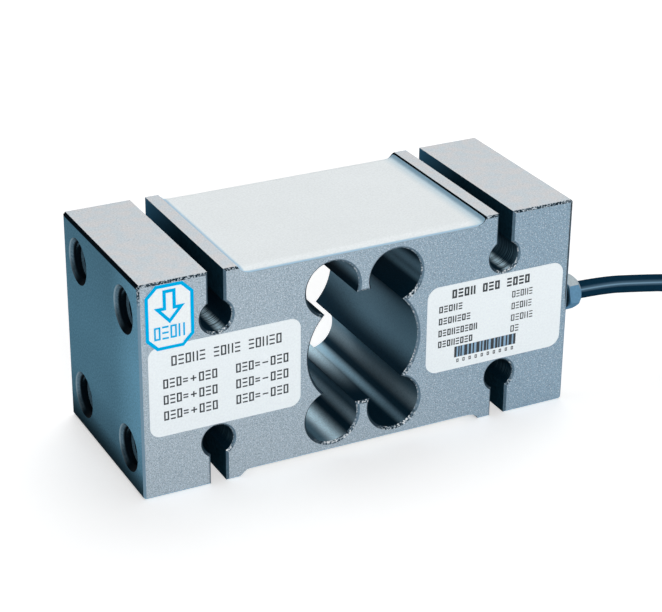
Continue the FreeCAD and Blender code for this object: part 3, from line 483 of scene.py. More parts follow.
def rim_metal():
    """Mouths of the bores: steel blue, flecked low down and along the inner edge, with painted shade dark on
    the left side.
    """
    finish = grained("rim_aluminium", tint(106, 132, 150), 0.15, 0.45, metallic=0.2, gloss=0.15)
    looks = finish.axes("Normal")
    depth = finish.math("ABSOLUTE", finish.axes()["Y"])
    inner = finish.span(depth, BLOCK_HALF_WIDTH - RIM_FLECKS[0], BLOCK_HALF_WIDTH - RIM_FLECKS[1])
    patch = finish.ramp(finish.noise(RIM_PATCH), (0.4, 0.3), (0.6, 1.0))
    low = finish.span(looks["Z"], 0.15, 0.55)
    rough = flecks(finish, RIM_FLECK_SIZE, tint(14, 27, 36), tint(84, 108, 124), tint(226, 231, 234))
    amount = finish.math("MAXIMUM", finish.math("MULTIPLY", inner, patch), low)
    colour = finish.mix(amount, finish.base(), rough)
    # Painted shade: dark where the mouth looks toward the cable end, on each bore's left side
    painted_side_shade = finish.span(looks["X"], 0.15, 0.5)
    finish.link("Base Color", finish.mix(painted_side_shade, colour, tint(36, 56, 69)))
    return finish.material


def broken_edge_metal():
    """Outer edges of the front and back: dark and flecked high up, steel blue below, with a painted pale
    highlight at the foot.
    """
    finish = Finish("broken_edge_aluminium", gloss=0.0, metallic=0.1, roughness=0.45)
    place = finish.axes()
    x, z = place["X"], place["Z"]
    rough = flecks(finish, EDGE_FLECK_SIZE, tint(10, 22, 30), tint(48, 70, 85), tint(196, 208, 216))
    inside = finish.span(finish.math("ABSOLUTE", x), BLOCK_END - EDGE_WIDTH, BLOCK_END - 3 * EDGE_WIDTH)
    high = finish.math("MULTIPLY", finish.span(z, 0.4 * BLOCK_TOP, 0.55 * BLOCK_TOP), inside)
    top = finish.span(z, 0.88 * BLOCK_TOP, 0.97 * BLOCK_TOP)
    colour = finish.mix(finish.math("MAXIMUM", high, top), tint(122, 152, 172), rough)
    # Painted highlight: a pale blue line along the foot
    painted_foot_highlight = finish.span(z, EDGE_WIDTH, EDGE_WIDTH / 2)
    finish.link("Base Color", finish.mix(painted_foot_highlight, colour, tint(164, 202, 224)))
    return finish.material


END_EDGE_GRAIN = 0.0008


def edge_in_shade_metal():
    """Painted shade, near black, on the chamfers along the end faces and on the ribs' edges over the
    compound.
    """
    finish = grained("edge_in_shade_aluminium", tint(10, 19, 25), 0.3, 0.45, gloss=0.0, grain=END_EDGE_GRAIN)
    return finish.material


def countersink_metal():
    """Countersinks of the tapped holes in painted light and shade: near black, painted steel blue with a
    paler rim up and toward the back.
    """
    finish = Finish("countersink_aluminium", gloss=0.0, metallic=0.1, roughness=0.45)
    looks = finish.axes("Normal")
    # Painted light on the part that looks up and toward the back, painted shade near black on the rest
    side = finish.span(looks["Y"], -0.1, -0.5)
    raised_light = finish.span(looks["Z"], 0.0, 0.5, 1.0, 0.25)
    depth = finish.math("SUBTRACT", BLOCK_END, finish.math("ABSOLUTE", finish.axes()["X"]))
    tone = finish.graded(finish.noise(FINE_GRAIN, FINE_DETAIL), tint(76, 106, 124), tint(112, 140, 156))
    tone = finish.mix(finish.span(depth, BOLT_CHAMFER / 3, 0.0), tone, tint(150, 176, 190))
    outer = finish.span(depth, 0.45 * BOLT_CHAMFER, 0.8 * BOLT_CHAMFER, 1.0, 0.0)
    lit = finish.math("MULTIPLY", finish.math("MULTIPLY", side, raised_light), outer)
    finish.link("Base Color", finish.mix(lit, tint(6, 14, 20), tone))
    return finish.material


def hole_metal():
    """Walls of the tapped holes, the cable port and the wire passages: near black, a painted shade."""
    return grained("hole_aluminium", tint(10, 22, 30), 0.25, 0.4, gloss=0.0).material


def thread_metal():
    """Threads of the tapped holes in painted light and shade: steel blue on the flanks that look along the
    hole, dark on the crests.
    """
    finish = grained("thread_aluminium", tint(255, 255, 255), 0.25, 0.4, metallic=0.2, gloss=0.0)
    along = finish.math("ABSOLUTE", finish.axes("Normal")["X"])
    # Painted light on the flanks that look along the hole, painted shade on the crests
    tone = finish.ramp(along, (0.3, tint(16, 30, 38)), (0.7, tint(78, 106, 122)))
    finish.link("Base Color", finish.times(finish.base(), tone))
    return finish.material


# Sealing compound: relief, run of the painted shade up to a rib, bounds of the painted shading on brim and
# lip, and how light enters it
COMPOUND_RELIEF = 0.00002
RIB_SHADE_RUN = 0.006
BRIM = (0.0023, 0.0013)
LIP = (0.0004, 0.0001)
LIGHT_SHARE = 0.1
LIGHT_REACH = 0.002


def compound_material():
    """White cast silicone, soft and slightly uneven, with painted shade going blue where it rises to the rib
    at the cable end and painted pale-blue shading along its edges.
    """
    finish = grained("white_compound", tint(237, 243, 245), 0.06, 0.5, relief=COMPOUND_RELIEF)
    end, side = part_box("upper_compound")[1].xy
    place = finish.axes()
    x, y = place["X"], place["Y"]
    rise = finish.span(x, end - RIB_SHADE_RUN, end)
    # Painted shade: blue where the compound rises to the rib at the cable end
    rib_shade = finish.ramp(rise, (0.0, 1.0), (0.7, tint(214, 230, 238)), (1.0, tint(120, 160, 184)))
    colour = finish.times(finish.base(), rib_shade)
    # Painted shading: pale blue along the brim at the load-end rib and the lips front and back
    brim = finish.span(x, BRIM[0] - end, BRIM[1] - end)
    lip = finish.span(finish.math("ABSOLUTE", y), side - LIP[0], side - LIP[1])
    finish.link("Base Color", finish.mix(finish.math("MAXIMUM", brim, lip), colour, tint(170, 204, 226)))
    finish.shader.inputs["Subsurface Weight"].default_value = LIGHT_SHARE
    finish.shader.inputs["Subsurface Radius"].default_value = (LIGHT_REACH, LIGHT_REACH, LIGHT_REACH)
    return finish.material


def gland_metal():
    """Nickel of the gland's nut, in painted light: pale on what looks up, steel blue on the rest."""
    finish = grained("nickel", tint(255, 255, 255), 0.1, 0.4, metallic=0.1, gloss=0.0)
    # Painted light: pale where the nut looks up, steel blue where it looks aside
    tone = finish.ramp(finish.axes("Normal")["Z"], (0.2, tint(92, 142, 176)), (0.7, tint(176, 186, 190)))
    finish.link("Base Color", finish.times(finish.base(), tone))
    return finish.material


def collar_metal():
    """Gland body, in the shade between the nut and the block."""
    return grained("collar_nickel", tint(14, 30, 40), 0.15, 0.4, metallic=0.1, gloss=0.0).material


def jacket_material():
    """Cable jacket: dark blue-black, with one narrow painted sheen along its upper side."""
    finish = grained("jacket", tint(14, 46, 66), 0.12, 0.45, gloss=0.0)
    looks_up = finish.axes("Normal")["Z"]
    # Painted sheen: a pale blue band where the jacket looks part way up
    painted_sheen = finish.ramp(looks_up, (0.1, 0.0), (0.33, 0.3), (0.42, 0.85), (0.52, 0.3), (0.75, 0.0))
    finish.link("Base Color", finish.mix(painted_sheen, finish.base(), tint(136, 174, 200)))
    return finish.material


COAT_RELIEF = 0.00001


def plain_coat(name, colour, roughness, spread=0.1, metallic=0.0):
    return grained(name, colour, spread, roughness, metallic, relief=COAT_RELIEF).material


# Name, colour and roughness of the finish of each slot that has a plain one
SLOT_FINISHES = {
    "sealing_compound": ("cast_compound", tint(232, 238, 240), 0.5),
    "gauge_film": ("amber_film", tint(196, 140, 62), 0.35),
    "terminal_board": ("green_board", tint(38, 104, 66), 0.4),
    "resistor": ("resistor_coat", tint(38, 38, 42), 0.35),
    "seal_rubber": ("black_rubber", tint(28, 29, 31), 0.6),
    "tie_nylon": ("nylon", tint(34, 35, 37), 0.45),
    "shrink_sleeve": ("shrink_tube", tint(30, 30, 32), 0.5),
    "label_film": ("label_film", tint(243, 251, 255), 0.4),
    "arrow_label_film": ("arrow_film", tint(246, 252, 254), 0.4),
    "green_insulation": ("green_coat", tint(32, 122, 62), 0.4),
    "black_insulation": ("black_coat", tint(30, 30, 32), 0.4),
    "white_insulation": ("white_coat", tint(230, 230, 226), 0.4),
    "red_insulation": ("red_coat", tint(176, 36, 32), 0.4),
    "yellow_insulation": ("yellow_coat", tint(226, 186, 50), 0.4),
    "blue_insulation": ("blue_coat", tint(42, 78, 158), 0.4),
}
METAL_FINISHES = {
    "copper_ribbon": ("bare_copper", tint(214, 142, 104), 0.35),
    "tinned_copper": ("tin", tint(200, 200, 196), 0.35),
}


def slot_materials():
    """One material for each of the record's slots, apart from the block's."""
    made = {"gland_metal": gland_metal(), "cable_jacket": jacket_material()}
    for slot, (name, colour, roughness) in SLOT_FINISHES.items():
        made[slot] = plain_coat(name, colour, roughness, spread=0.04)
    for slot, (name, colour, roughness) in METAL_FINISHES.items():
        made[slot] = plain_coat(name, colour, roughness, metallic=0.85)
    return made


# Tones of the bores' walls, the near-black one a painted shade and the others painted reflections, and
# depths at which a reflection turns from its front to its back strength
BORE_SHADE_TONE = tint(12, 42, 58)
SLATE = tint(126, 168, 190)
STEEL = tint(166, 208, 230)
PALE = tint(180, 208, 222)
SILVER = tint(208, 240, 255)
EARLY = -0.0065
LATE = 0.012


class PaintedReflection(NamedTuple):
    """Painted reflection on a bore's wall: its heading (0 toward the cable end, 90 up) and half width are in
    degrees.
    """

    heading: float
    half_width: float
    tone: tuple
    front: float
    back: float
    turn: float = EARLY


FAR_REFLECTION = PaintedReflection(185, 45, SLATE, 0.4, 0.6)
MAIN_REFLECTIONS = (
    FAR_REFLECTION,
    PaintedReflection(5, 40, SLATE, 0.7, 0.7, LATE),
    PaintedReflection(343, 24, SLATE, 0.65, 0.0, LATE),
    PaintedReflection(274, 15, SILVER, 0.0, 1.0),
)
UPPER_LEFT_REFLECTIONS = (FAR_REFLECTION, PaintedReflection(20, 30, SLATE, 0.9, 0.9))
UPPER_RIGHT_REFLECTIONS = (
    FAR_REFLECTION,
    PaintedReflection(3, 26, SLATE, 0.6, 0.7),
    PaintedReflection(340, 12, SLATE, 0.45, 0.45),
)
LOWER_LEFT_REFLECTIONS = (
    FAR_REFLECTION,
    PaintedReflection(250, 30, SLATE, 0.7, 0.8),
    PaintedReflection(8, 30, SLATE, 0.2, 0.7),
    PaintedReflection(282, 30, SILVER, 1.0, 1.0),
    PaintedReflection(340, 20, PALE, 0.6, 1.0),
)
LOWER_RIGHT_REFLECTIONS = (
    FAR_REFLECTION,
    PaintedReflection(8, 34, SLATE, 0.42, 0.95),
    PaintedReflection(291, 20, SILVER, 0.0, 0.7, LATE),
    PaintedReflection(295, 15, STEEL, 0.35, 0.9),
    PaintedReflection(344, 27, PALE, 0.55, 0.6),
)
UPPER_LEFT_KEYHOLE_REFLECTIONS = (FAR_REFLECTION, PaintedReflection(288, 25, SILVER, 1.0, 0.7))
UPPER_RIGHT_KEYHOLE_REFLECTIONS = (*UPPER_LEFT_KEYHOLE_REFLECTIONS, PaintedReflection(350, 55, SLATE, 0.5, 0.4))
LOWER_KEYHOLE_REFLECTIONS = (FAR_REFLECTION, PaintedReflection(350, 30, SLATE, 0.2, 0.2))

# Bores through the block: place of the axis along and up, radius and painted reflections
BORES = {
    "main_bore": (0.0, BLOCK_TOP / 2, MAIN_BORE_RADIUS, MAIN_REFLECTIONS),
    "upper_left_lobe": (-LOBE_ALONG, LOBE_HEIGHTS[1], LOBE_RADIUS, UPPER_LEFT_REFLECTIONS),
    "upper_right_lobe": (LOBE_ALONG, LOBE_HEIGHTS[1], LOBE_RADIUS, UPPER_RIGHT_REFLECTIONS),
    "lower_left_lobe": (-LOBE_ALONG, LOBE_HEIGHTS[0], LOBE_RADIUS, LOWER_LEFT_REFLECTIONS),
    "lower_right_lobe": (LOBE_ALONG, LOBE_HEIGHTS[0], LOBE_RADIUS, LOWER_RIGHT_REFLECTIONS),
}
for side, keyhole_along, upper_reflections in (
    ("left", -SLOT_ALONG, UPPER_LEFT_KEYHOLE_REFLECTIONS),
    ("right", SLOT_ALONG, UPPER_RIGHT_KEYHOLE_REFLECTIONS),
):
    lower, upper = ((keyhole_along, height, KEYHOLE_RADIUS) for height in KEYHOLE_HEIGHTS)
    BORES[f"lower_{side}_keyhole"] = (*lower, LOWER_KEYHOLE_REFLECTIONS)
    BORES[f"upper_{side}_keyhole"] = (*upper, upper_reflections)

# Limits that tell the block's faces apart: parts of a unit normal, and a length in metres
FLAT = 0.98
EDGE = 0.3
LEVEL = 0.05
NEAR = 0.0006


def near_axis(first, second, centres, reach):
    return any(math.hypot(first - a, second - b) < reach for a, b in centres)


def face_finish(centre, normal):
    """Name of the finish of one face of the block, by where it lies and where it looks."""
    along, across, up = (abs(value) for value in normal)
    from_end = BLOCK_END - abs(centre.x)
    from_level = min(centre.z, BLOCK_TOP - centre.z)
    bolts = [(side * BOLT_ACROSS, height) for side in (-1, 1) for height in BOLT_HEIGHTS]
    in_bolt_hole = near_axis(centre.y, centre.z, bolts, BOLT_RADIUS + BOLT_CHAMFER + NEAR)
    if in_bolt_hole and from_end < BOLT_DEPTH + BOLT_RADIUS and along < FLAT:
        return "countersink" if along > EDGE else "hole"
    if across > FLAT:
        return "blasted"
    if across > EDGE:
        if up < LEVEL and abs(abs(centre.x) - SLOT_ALONG) < SLOT_REACH:
            return "flare"
        outer = from_end < EDGE_WIDTH or from_level < RECESS_DEPTH + EDGE_WIDTH
        return "broken_edge" if outer else "rim"
    for name, (place, height, radius, _) in BORES.items():
        if abs(math.hypot(centre.x - place, centre.z - height) - radius) < NEAR:
            return name
    if along > FLAT:
        return "end" if from_end < NEAR else "slot"
    if from_level < RECESS_DEPTH + NEAR:
        # Chamfers at the ends, and rib walls that look toward the load end, take the near-black painted
        # shade
        return "edge_in_shade" if from_end < EDGE_WIDTH or normal.x < -EDGE else "satin"
    return "hole"


BLOCK_FINISHES = {
    "blasted": blasted_metal,
    "satin": satin_metal,
    "end": shaded_end_metal,
    "slot": shaded_slot_metal,
    "flare": flare_metal,
    "rim": rim_metal,
    "broken_edge": broken_edge_metal,
    "edge_in_shade": edge_in_shade_metal,
    "countersink": countersink_metal,
    "hole": hole_metal,
}


def dress_block():
    mesh = nodes["spring_element"].data
    mesh.materials.clear()
    made = {name: make() for name, make in BLOCK_FINISHES.items()}
    for name, (along, height, _, reflections) in BORES.items():
        made[name] = reflection_painted_metal(f"{name}_aluminium", along, height, reflections, name.endswith("keyhole"))
    places = {}
    for index, (name, material) in enumerate(made.items()):
        mesh.materials.append(material)
        places[name] = index
    for face in mesh.polygons:
        face.material_index = places[face_finish(face.center, face.normal)]


def dress(node, material):
    mesh = nodes[node].data
    mesh.materials.clear()
    mesh.materials.append(material)


def dress_nodes(materials):
    for subpart in frame["record"]["subparts"]:
        slot = subpart["material_slot"]
        if slot in materials:
            dress(subpart["node"], materials[slot])
    dress("gland_body", collar_metal())


def new_piece(name, vertices, faces, material, smooth=False):
    """Mesh piece of one material that rides with the part."""
    mesh = bpy.data.meshes.new(name)
    mesh.from_pydata(vertices, [], faces)
    mesh.materials.append(material)
    if smooth:
        mesh.shade_smooth()
    piece = bpy.data.objects.new(name, mesh)
    scene.collection.objects.link(piece)
    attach(piece, "root")
    return piece


# Threads of the tapped holes
THREAD_PITCH = 0.00175
THREAD_CREST = 0.00515
THREAD_BASE_HALF = 0.00076
THREAD_CREST_HALF = 0.00018
THREAD_STEPS = 48
THREAD_RUN_OUT = THREAD_STEPS / 4
THREAD_CORNERS = 4


def make_thread(name, end, across, height, material):
    """Right-hand ridge wound round the wall of one tapped hole, with its ends run out into the wall."""
    start = BOLT_CHAMFER + THREAD_BASE_HALF
    run = BOLT_DEPTH - start - THREAD_BASE_HALF
    count = int(run / THREAD_PITCH * THREAD_STEPS)
    vertices = []
    for step in range(count + 1):
        angle = 2 * math.pi * step / THREAD_STEPS
        depth = start + THREAD_PITCH * step / THREAD_STEPS
        growth = min(1.0, step / THREAD_RUN_OUT, (count - step) / THREAD_RUN_OUT)
        crest = BOLT_RADIUS - (BOLT_RADIUS - THREAD_CREST) * growth
        section = (
            (BOLT_RADIUS, -THREAD_BASE_HALF),
            (crest, -THREAD_CREST_HALF),
            (crest, THREAD_CREST_HALF),
            (BOLT_RADIUS, THREAD_BASE_HALF),
        )
        for radius, offset in section:
            x = end * (BLOCK_END - depth - offset)
            vertices.append((x, across + radius * math.cos(angle), height - end * radius * math.sin(angle)))
    faces = []
    for step in range(count):
        base = step * THREAD_CORNERS
        for corner in range(THREAD_CORNERS):
            first, second = base + corner, base + (corner + 1) % THREAD_CORNERS
            faces.append((first, second, second + THREAD_CORNERS, first + THREAD_CORNERS))
    last = count * THREAD_CORNERS
    faces.append(tuple(reversed(range(THREAD_CORNERS))))
    faces.append(tuple(range(last, last + THREAD_CORNERS)))
    new_piece(name, vertices, faces, material)


def make_threads():
    material = thread_metal()
    for end_name, end in (("load", -1), ("fixed", 1)):
        for level, height in zip(("lower", "upper"), BOLT_HEIGHTS):
            for side, across in (("front", -BOLT_ACROSS), ("back", BOLT_ACROSS)):
                make_thread(f"{end_name}_{level}_{side}_thread", end, across, height, material)


# Sealing compound in the recesses: level in the middle, rising to the ramps, rolled off front and back
FILL_LEVEL = 0.0014
FILL_FILM = 0.0005
RAMP_RADIUS = 0.005
RAMP_RISE = 0.0020
RAMP_RUN = math.sqrt(RAMP_RADIUS**2 - (RAMP_RADIUS - RAMP_RISE) ** 2)
ROLL_WIDTH = 0.0032
EDGE_THICKNESS = 0.0002
FILL_WAVE = 0.00005
FILL_WAVE_LENGTH = 0.012
FILL_CELLS = (140, 100)


def fill_surface(x, y, half_length, half_width):
    """Height of the compound's surface and of its underside over the recess floor."""
    beyond = max(0.0, abs(x) - half_length + RAMP_RUN)
    under = RAMP_RADIUS - math.sqrt(RAMP_RADIUS**2 - beyond**2)
    inner = RAMP_RADIUS - FILL_FILM
    inner_run = RAMP_RUN * inner / RAMP_RADIUS
    film = RAMP_RADIUS - math.sqrt(inner**2 - min(beyond, inner_run) ** 2)
    film += (RAMP_RISE - film) * max(0.0, beyond - inner_run) / (RAMP_RUN - inner_run)
    level = FILL_LEVEL + FILL_WAVE * noise.noise((x / FILL_WAVE_LENGTH, y / FILL_WAVE_LENGTH, 0.0))
    top = max(level, film)
    share = min(1.0, (half_width - abs(y)) / ROLL_WIDTH)
    roll = math.sqrt(max(0.0, 1 - (1 - share) ** 2))
    return under + max(EDGE_THICKNESS, (top - under) * roll), under


def make_compound(node, material):
    """Compound of the upper recess, or of the lower one with its surface turned down."""
    low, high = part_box(node)
    half_length, half_width = high.x, high.y
    upper = low.z > BLOCK_TOP / 2
    floor_level, rise = (low.z, 1) if upper else (high.z, -1)
    columns, rows = FILL_CELLS
    top, under = [], []
    for row in range(rows + 1):
        y = -half_width * math.cos(math.pi * row / rows)
        for column in range(columns + 1):
            x = -half_length * math.cos(math.pi * column / columns)
            surface, bed = fill_surface(x, y, half_length, half_width)
            top.append((x, y, floor_level + rise * surface))
            under.append((x, y, floor_level + rise * bed))
    wide = columns + 1
    count = len(top)
    faces = []
    for row in range(rows):
        for column in range(columns):
            corner = row * wide + column
            loop = (corner, corner + 1, corner + wide + 1, corner + wide)
            faces.append(loop)
            faces.append(tuple(count + index for index in reversed(loop)))
    border = list(range(wide))
    border += [row * wide + columns for row in range(1, rows + 1)]
    border += [rows * wide + column for column in reversed(range(columns))]
    border += [row * wide for row in reversed(range(1, rows))]
    for first, second in zip(border, border[1:] + border[:1]):
        faces.append((second, first, count + first, count + second))
    if not upper:
        faces = [tuple(reversed(face)) for face in faces]
    piece = new_piece(f"{node}_cast", top + under, faces, material, smooth=True)
    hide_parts(node)


# Print on the labels: signs, bars and an arrow as thin layers of ink, drawn in millimetres on the front
MM = 0.001
INK = 0.00002
SIGN_SHARE = 0.76
SIGN_SHAPES = ("box", "rungs", "box", "posts", "rungs")


def bar(left, right, low, high):
    return [(left, low), (right, low), (right, high), (left, high)]


def inset(points, width):
    """Outline drawn inside another, counter-clockwise one, at a distance."""
    inner = []
    for index, point in enumerate(points):
        here = Vector(point)
        before = (here - Vector(points[index - 1])).normalized()
        after = (Vector(points[(index + 1) % len(points)]) - here).normalized()
        normals = Vector((-before.y, before.x)), Vector((-after.y, after.x))
        middle = (normals[0] + normals[1]).normalized()
        inner.append(tuple(here + middle * (width / middle.dot(normals[0]))))
    return inner


class Print:
    """Outlines of one layer of ink: filled ones, and rings between two outlines of as many points."""

    def __init__(self):
        self.fills = []
        self.rings = []

    def ring(self, outline, stroke):
        self.rings.append((outline, inset(outline, stroke)))

    def sign(self, shape, left, right, low, high, stroke):
        """Plain sign: a box, two posts or three rungs."""
        if shape == "box":
            self.ring(bar(left, right, low, high), stroke)
        elif shape == "posts":
            self.fills += [bar(left, left + stroke, low, high), bar(right - stroke, right, low, high)]
        else:
            step = (high - low - stroke) / 2
            bases = [low + rung * step for rung in range(3)]
            self.fills += [bar(left, right, base, base + stroke) for base in bases]

    def line(self, left, right, base, tall, groups, stroke):
        """Row of signs in groups of the given sizes, with the room of one sign between groups."""
        pitch = (right - left) / (sum(groups) + len(groups) - 2 + SIGN_SHARE)
        place = 0
        for signs in groups:
            for _ in range(signs):
                start = left + place * pitch
                shape = SIGN_SHAPES[place % len(SIGN_SHAPES)]
                self.sign(shape, start, start + pitch * SIGN_SHARE, base, base + tall, stroke)
                place += 1
            place += 1

    def equals_sign(self, x, z, reach, stroke):
        for middle in (z - stroke, z + stroke):
            self.fills.append(bar(x - reach, x + reach, middle - stroke / 2, middle + stroke / 2))

    def plus_sign(self, x, z, reach, stroke, minus):
        half = stroke / 2
        self.fills.append(bar(x - reach, x + reach, z - half, z + half))
        if not minus:
            self.fills.append(bar(x - half, x + half, z + half, z + reach))
            self.fills.append(bar(x - half, x + half, z - reach, z - half))

    def make(self, name, surface, material, slot, thickness=INK):
        """Piece of this ink, from a label's surface outward."""
        vertices, faces = [], []

        def layer(points, y):
            start = len(vertices)
            vertices.extend((x * MM, y, z * MM) for x, z in points)
            return [start + index for index in range(len(points))]

        def strip(first, second):
            for index in range(len(first)):
                after = (index + 1) % len(first)
                faces.append((first[index], second[index], second[after], first[after]))

        for points in self.fills:
            front, back = layer(points, surface - thickness), layer(points, surface)
            faces.append(tuple(front))
            faces.append(tuple(reversed(back)))
            strip(front, back)
        for outer, inner in self.rings:
            depths = (surface - thickness, surface)
            outer_front, outer_back, inner_front, inner_back = [
                layer(points, y) for points in (outer, inner) for y in depths
            ]
            strip(inner_front, outer_front)
            strip(outer_front, outer_back)
            strip(outer_back, inner_back)
            strip(inner_back, inner_front)
        new_piece(name, vertices, faces, material)


# Wiring label: left sides of its columns and whether they show a minus, bases of its rows, and strokes
WIRING_COLUMNS = ((-67.8, False), (-44.0, True))
WIRING_ROWS = (36.9, 31.5, 26.1)
WIRING_TALL = 3.1
WIRING_STROKE = 0.48
WIRING_THIN_STROKE = 0.45
# Places in a row, from its left side and its base
FIRST_END = 5.9
EQUALS_PLACE = 7.2
EQUALS_REACH = 0.8
PLUS_PLACE = 9.8
PLUS_REACH = 0.95
SECOND_START = 11.6
SECOND_END = 17.6
ROW_MIDDLE = 1.5


def wiring_print():
    """Heading of signs, and six rows with signs on both sides of an equals and a plus or minus sign."""
    drawn = Print()
    drawn.line(left=-65.0, right=-28.7, base=44.0, tall=3.3, groups=(5, 4, 5), stroke=WIRING_STROKE)
    for left, minus in WIRING_COLUMNS:
        for base in WIRING_ROWS:
            middle = base + ROW_MIDDLE
            drawn.line(left, left + FIRST_END, base, WIRING_TALL, (3,), WIRING_STROKE)
            drawn.equals_sign(left + EQUALS_PLACE, middle, EQUALS_REACH, WIRING_THIN_STROKE)
            drawn.plus_sign(left + PLUS_PLACE, middle, PLUS_REACH, WIRING_THIN_STROKE, minus)
            drawn.line(left + SECOND_START, left + SECOND_END, base, WIRING_TALL, (3,), WIRING_STROKE)
    return drawn


# Rating label: bases of its rows, and of both columns the left side, stroke, and width and signs in each row
RATING_ROWS = (41.9, 37.7, 33.5, 29.6)
RATING_TALL = 2.3
RATING_COLUMNS = (
    (26.5, 0.42, ((8.4, 5), (11.5, 7), (14.2, 9), (12.6, 8))),
    (53.4, 0.34, ((7.6, 5), (7.5, 5), (8.1, 5), (3.0, 2))),
)

# Block of bars on the rating label: its outline, bars and gaps in equal units, and the boxes under it
BAR_CODE = (32.6, 55.5, 25.0, 28.8)
BAR_CODE_WIDTHS = (3, 2, 2, 4, 3, 2, 4, 2, 3, 2, 4, 3, 2, 3, 2, 4, 3)
BAR_CODE_GAPS = (2, 1, 3, 2, 2, 3, 2, 2, 1, 3, 2, 1, 2, 3, 2, 2, 0)
BOX_COUNT = 10
BOX_START = 33.5
BOX_PITCH = 2.27
BOX_WIDTH = 0.8


def rating_print():
    """Heading, four rows in two columns, and a block of bars with a row of small boxes under it."""
    drawn = Print()
    drawn.line(left=31.1, right=59.7, base=46.2, tall=3.0, groups=(4, 3, 4), stroke=0.62)
    for row, base in enumerate(RATING_ROWS):
        for start, stroke, rows in RATING_COLUMNS:
            width, signs = rows[row]
            drawn.line(start, start + width, base, RATING_TALL, (signs,), stroke)
    left, right, low, high = BAR_CODE
    unit = (right - left) / (sum(BAR_CODE_WIDTHS) + sum(BAR_CODE_GAPS))
    for width, gap in zip(BAR_CODE_WIDTHS, BAR_CODE_GAPS):
        drawn.fills.append(bar(left, left + width * unit, low, high))
        left += (width + gap) * unit
    for index in range(BOX_COUNT):
        place = BOX_START + index * BOX_PITCH
        drawn.sign("box", place, place + BOX_WIDTH, low=23.1, high=24.3, stroke=0.26)
    return drawn


# Arrow label: corner cuts of its border, half widths of the arrow's shaft and head, and the arrow's heights
BORDER_CUT = 3.5
ARROW_SHAFT = 2.05
ARROW_HEAD = 4.9
ARROW_TOP = 69.3
ARROW_SHOULDER = 63.8
ARROW_TIP = 58.3


def arrow_print():
    """Border of the label and a block arrow that points down, both in outline, with a row of signs below."""
    drawn = Print()
    low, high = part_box("load_arrow_label")
    left, right, base, top = low.x / MM, high.x / MM, low.z / MM, high.z / MM
    cut = BORDER_CUT
    border = [(left + cut, base), (right - cut, base), (right, base + cut), (right, top - cut)]
    border += [(right - cut, top), (left + cut, top), (left, top - cut), (left, base + cut)]
    drawn.ring(border, stroke=1.05)
    middle = (left + right) / 2
    arrow = [(0, ARROW_TIP), (ARROW_HEAD, ARROW_SHOULDER), (ARROW_SHAFT, ARROW_SHOULDER)]
    arrow += [(ARROW_SHAFT, ARROW_TOP), (-ARROW_SHAFT, ARROW_TOP)]
    arrow += [(-ARROW_SHAFT, ARROW_SHOULDER), (-ARROW_HEAD, ARROW_SHOULDER)]
    drawn.ring([(middle + x, z) for x, z in arrow], stroke=1.0)
    drawn.line(left=-70.2, right=-60.4, base=53.4, tall=4.2, groups=(4,), stroke=0.5)
    return drawn


def make_prints():
    ink = plain_coat("black_ink", tint(26, 36, 44), 0.5, spread=0.15)
    cyan = grained("cyan_ink", tint(0, 181, 240), 0.04, 0.45, gloss=0.0).material
    grey = plain_coat("grey_ink", tint(140, 176, 204), 0.5)
    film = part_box("wiring_label")[0].y
    field = Print()
    field.fills.append(bar(*BAR_CODE))
    field.make("bar_code_field", film, grey, "label_film")
    wiring_print().make("wiring_print", film, ink, "label_film")
    rating_print().make("rating_print", film, ink, "label_film", 2 * INK)
    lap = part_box("load_arrow_label")[0].y
    arrow_print().make("arrow_print", film, cyan, "arrow_label_film", film - lap + INK)


# Stage: pale floor, soft lamps and a white surround
FLOOR_HALF = 3.0
FLOOR_LEVEL = -0.0002
FLOOR_GRAIN = 0.05
FLOOR_GLOW = 0.45
WORLD_LIGHT = 0.3
WHITE = (1, 1, 1, 1)


def seen_rays(tree):
    """Factor of rays that show the surround: from the camera, or by gloss or through glass."""
    path = tree.nodes.new("ShaderNodeLightPath")
    total = path.outputs["Is Camera Ray"]
    for ray in ("Is Glossy Ray", "Is Transmission Ray"):
        add = tree.nodes.new("ShaderNodeMath")
        add.operation = "MAXIMUM"
        tree.links.new(total, add.inputs[0])
        tree.links.new(path.outputs[ray], add.inputs[1])
        total = add.outputs[0]
    return total


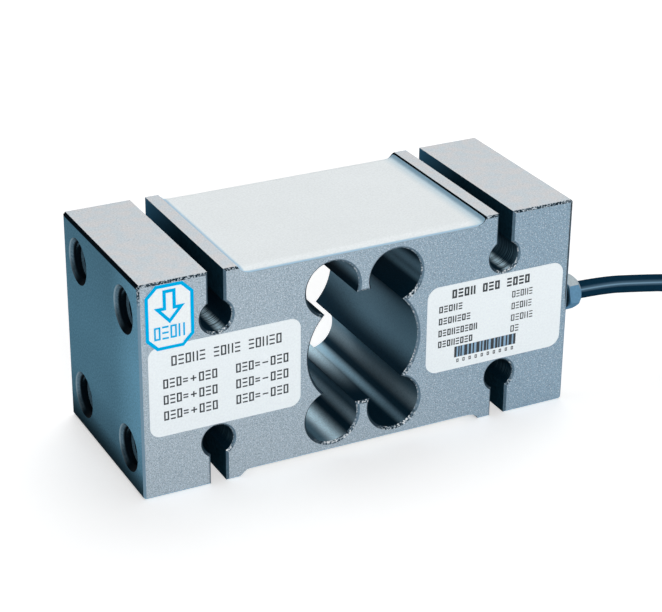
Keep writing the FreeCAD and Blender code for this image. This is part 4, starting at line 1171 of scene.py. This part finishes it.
def make_floor():
    mesh = bpy.data.meshes.new("studio_floor")
    corners = [(-1, -1), (1, -1), (1, 1), (-1, 1)]
    mesh.from_pydata([(x * FLOOR_HALF, y * FLOOR_HALF, FLOOR_LEVEL) for x, y in corners], [], [(0, 1, 2, 3)])
    floor = bpy.data.objects.new("studio_floor", mesh)
    scene.collection.objects.link(floor)
    finish = Finish("studio_floor", roughness=0.9)
    finish.link("Base Color", finish.graded(finish.noise(FLOOR_GRAIN), 0.80, 0.82))
    seen = seen_rays(finish.tree)
    finish.shader.inputs["Emission Color"].default_value = WHITE
    finish.link("Emission Strength", finish.math("MULTIPLY", seen, FLOOR_GLOW))
    mesh.materials.append(finish.material)


def make_world():
    world = bpy.data.worlds.new("studio")
    world.use_nodes = True
    scene.world = world
    tree = world.node_tree
    background = tree.nodes["Background"]
    light = tree.nodes.new("ShaderNodeMapRange")
    tree.links.new(seen_rays(tree), light.inputs["Value"])
    light.inputs["To Min"].default_value = WORLD_LIGHT
    light.inputs["To Max"].default_value = 1.0
    tree.links.new(light.outputs[0], background.inputs["Strength"])
    background.inputs["Color"].default_value = WHITE


# Lamps: name, place, size and power in watts; each looks at the block's middle
LAMPS = (
    ("top_lamp", (0.4, 0.7, 1.3), 1.2, 9.7),
    ("front_lamp", (-0.3, -1.7, 0.8), 1.2, 18.0),
)


def make_lamps():
    middle = Vector((0, 0, BLOCK_TOP / 2))
    for name, place, size, power in LAMPS:
        data = bpy.data.lights.new(name, "AREA")
        data.shape = "DISK"
        data.size = size
        data.energy = power
        lamp = bpy.data.objects.new(name, data)
        lamp.location = place
        lamp.rotation_euler = (middle - Vector(place)).to_track_quat("-Z", "Y").to_euler()
        scene.collection.objects.link(lamp)


make_camera()
materials = slot_materials()
make_cable(materials["cable_jacket"])
dress_nodes(materials)
dress_block()
make_threads()
compound = compound_material()
make_compound("upper_compound", compound)
make_compound("lower_compound", compound)
make_prints()
make_floor()
make_world()
make_lamps()
scene.view_settings.view_transform = "Standard"
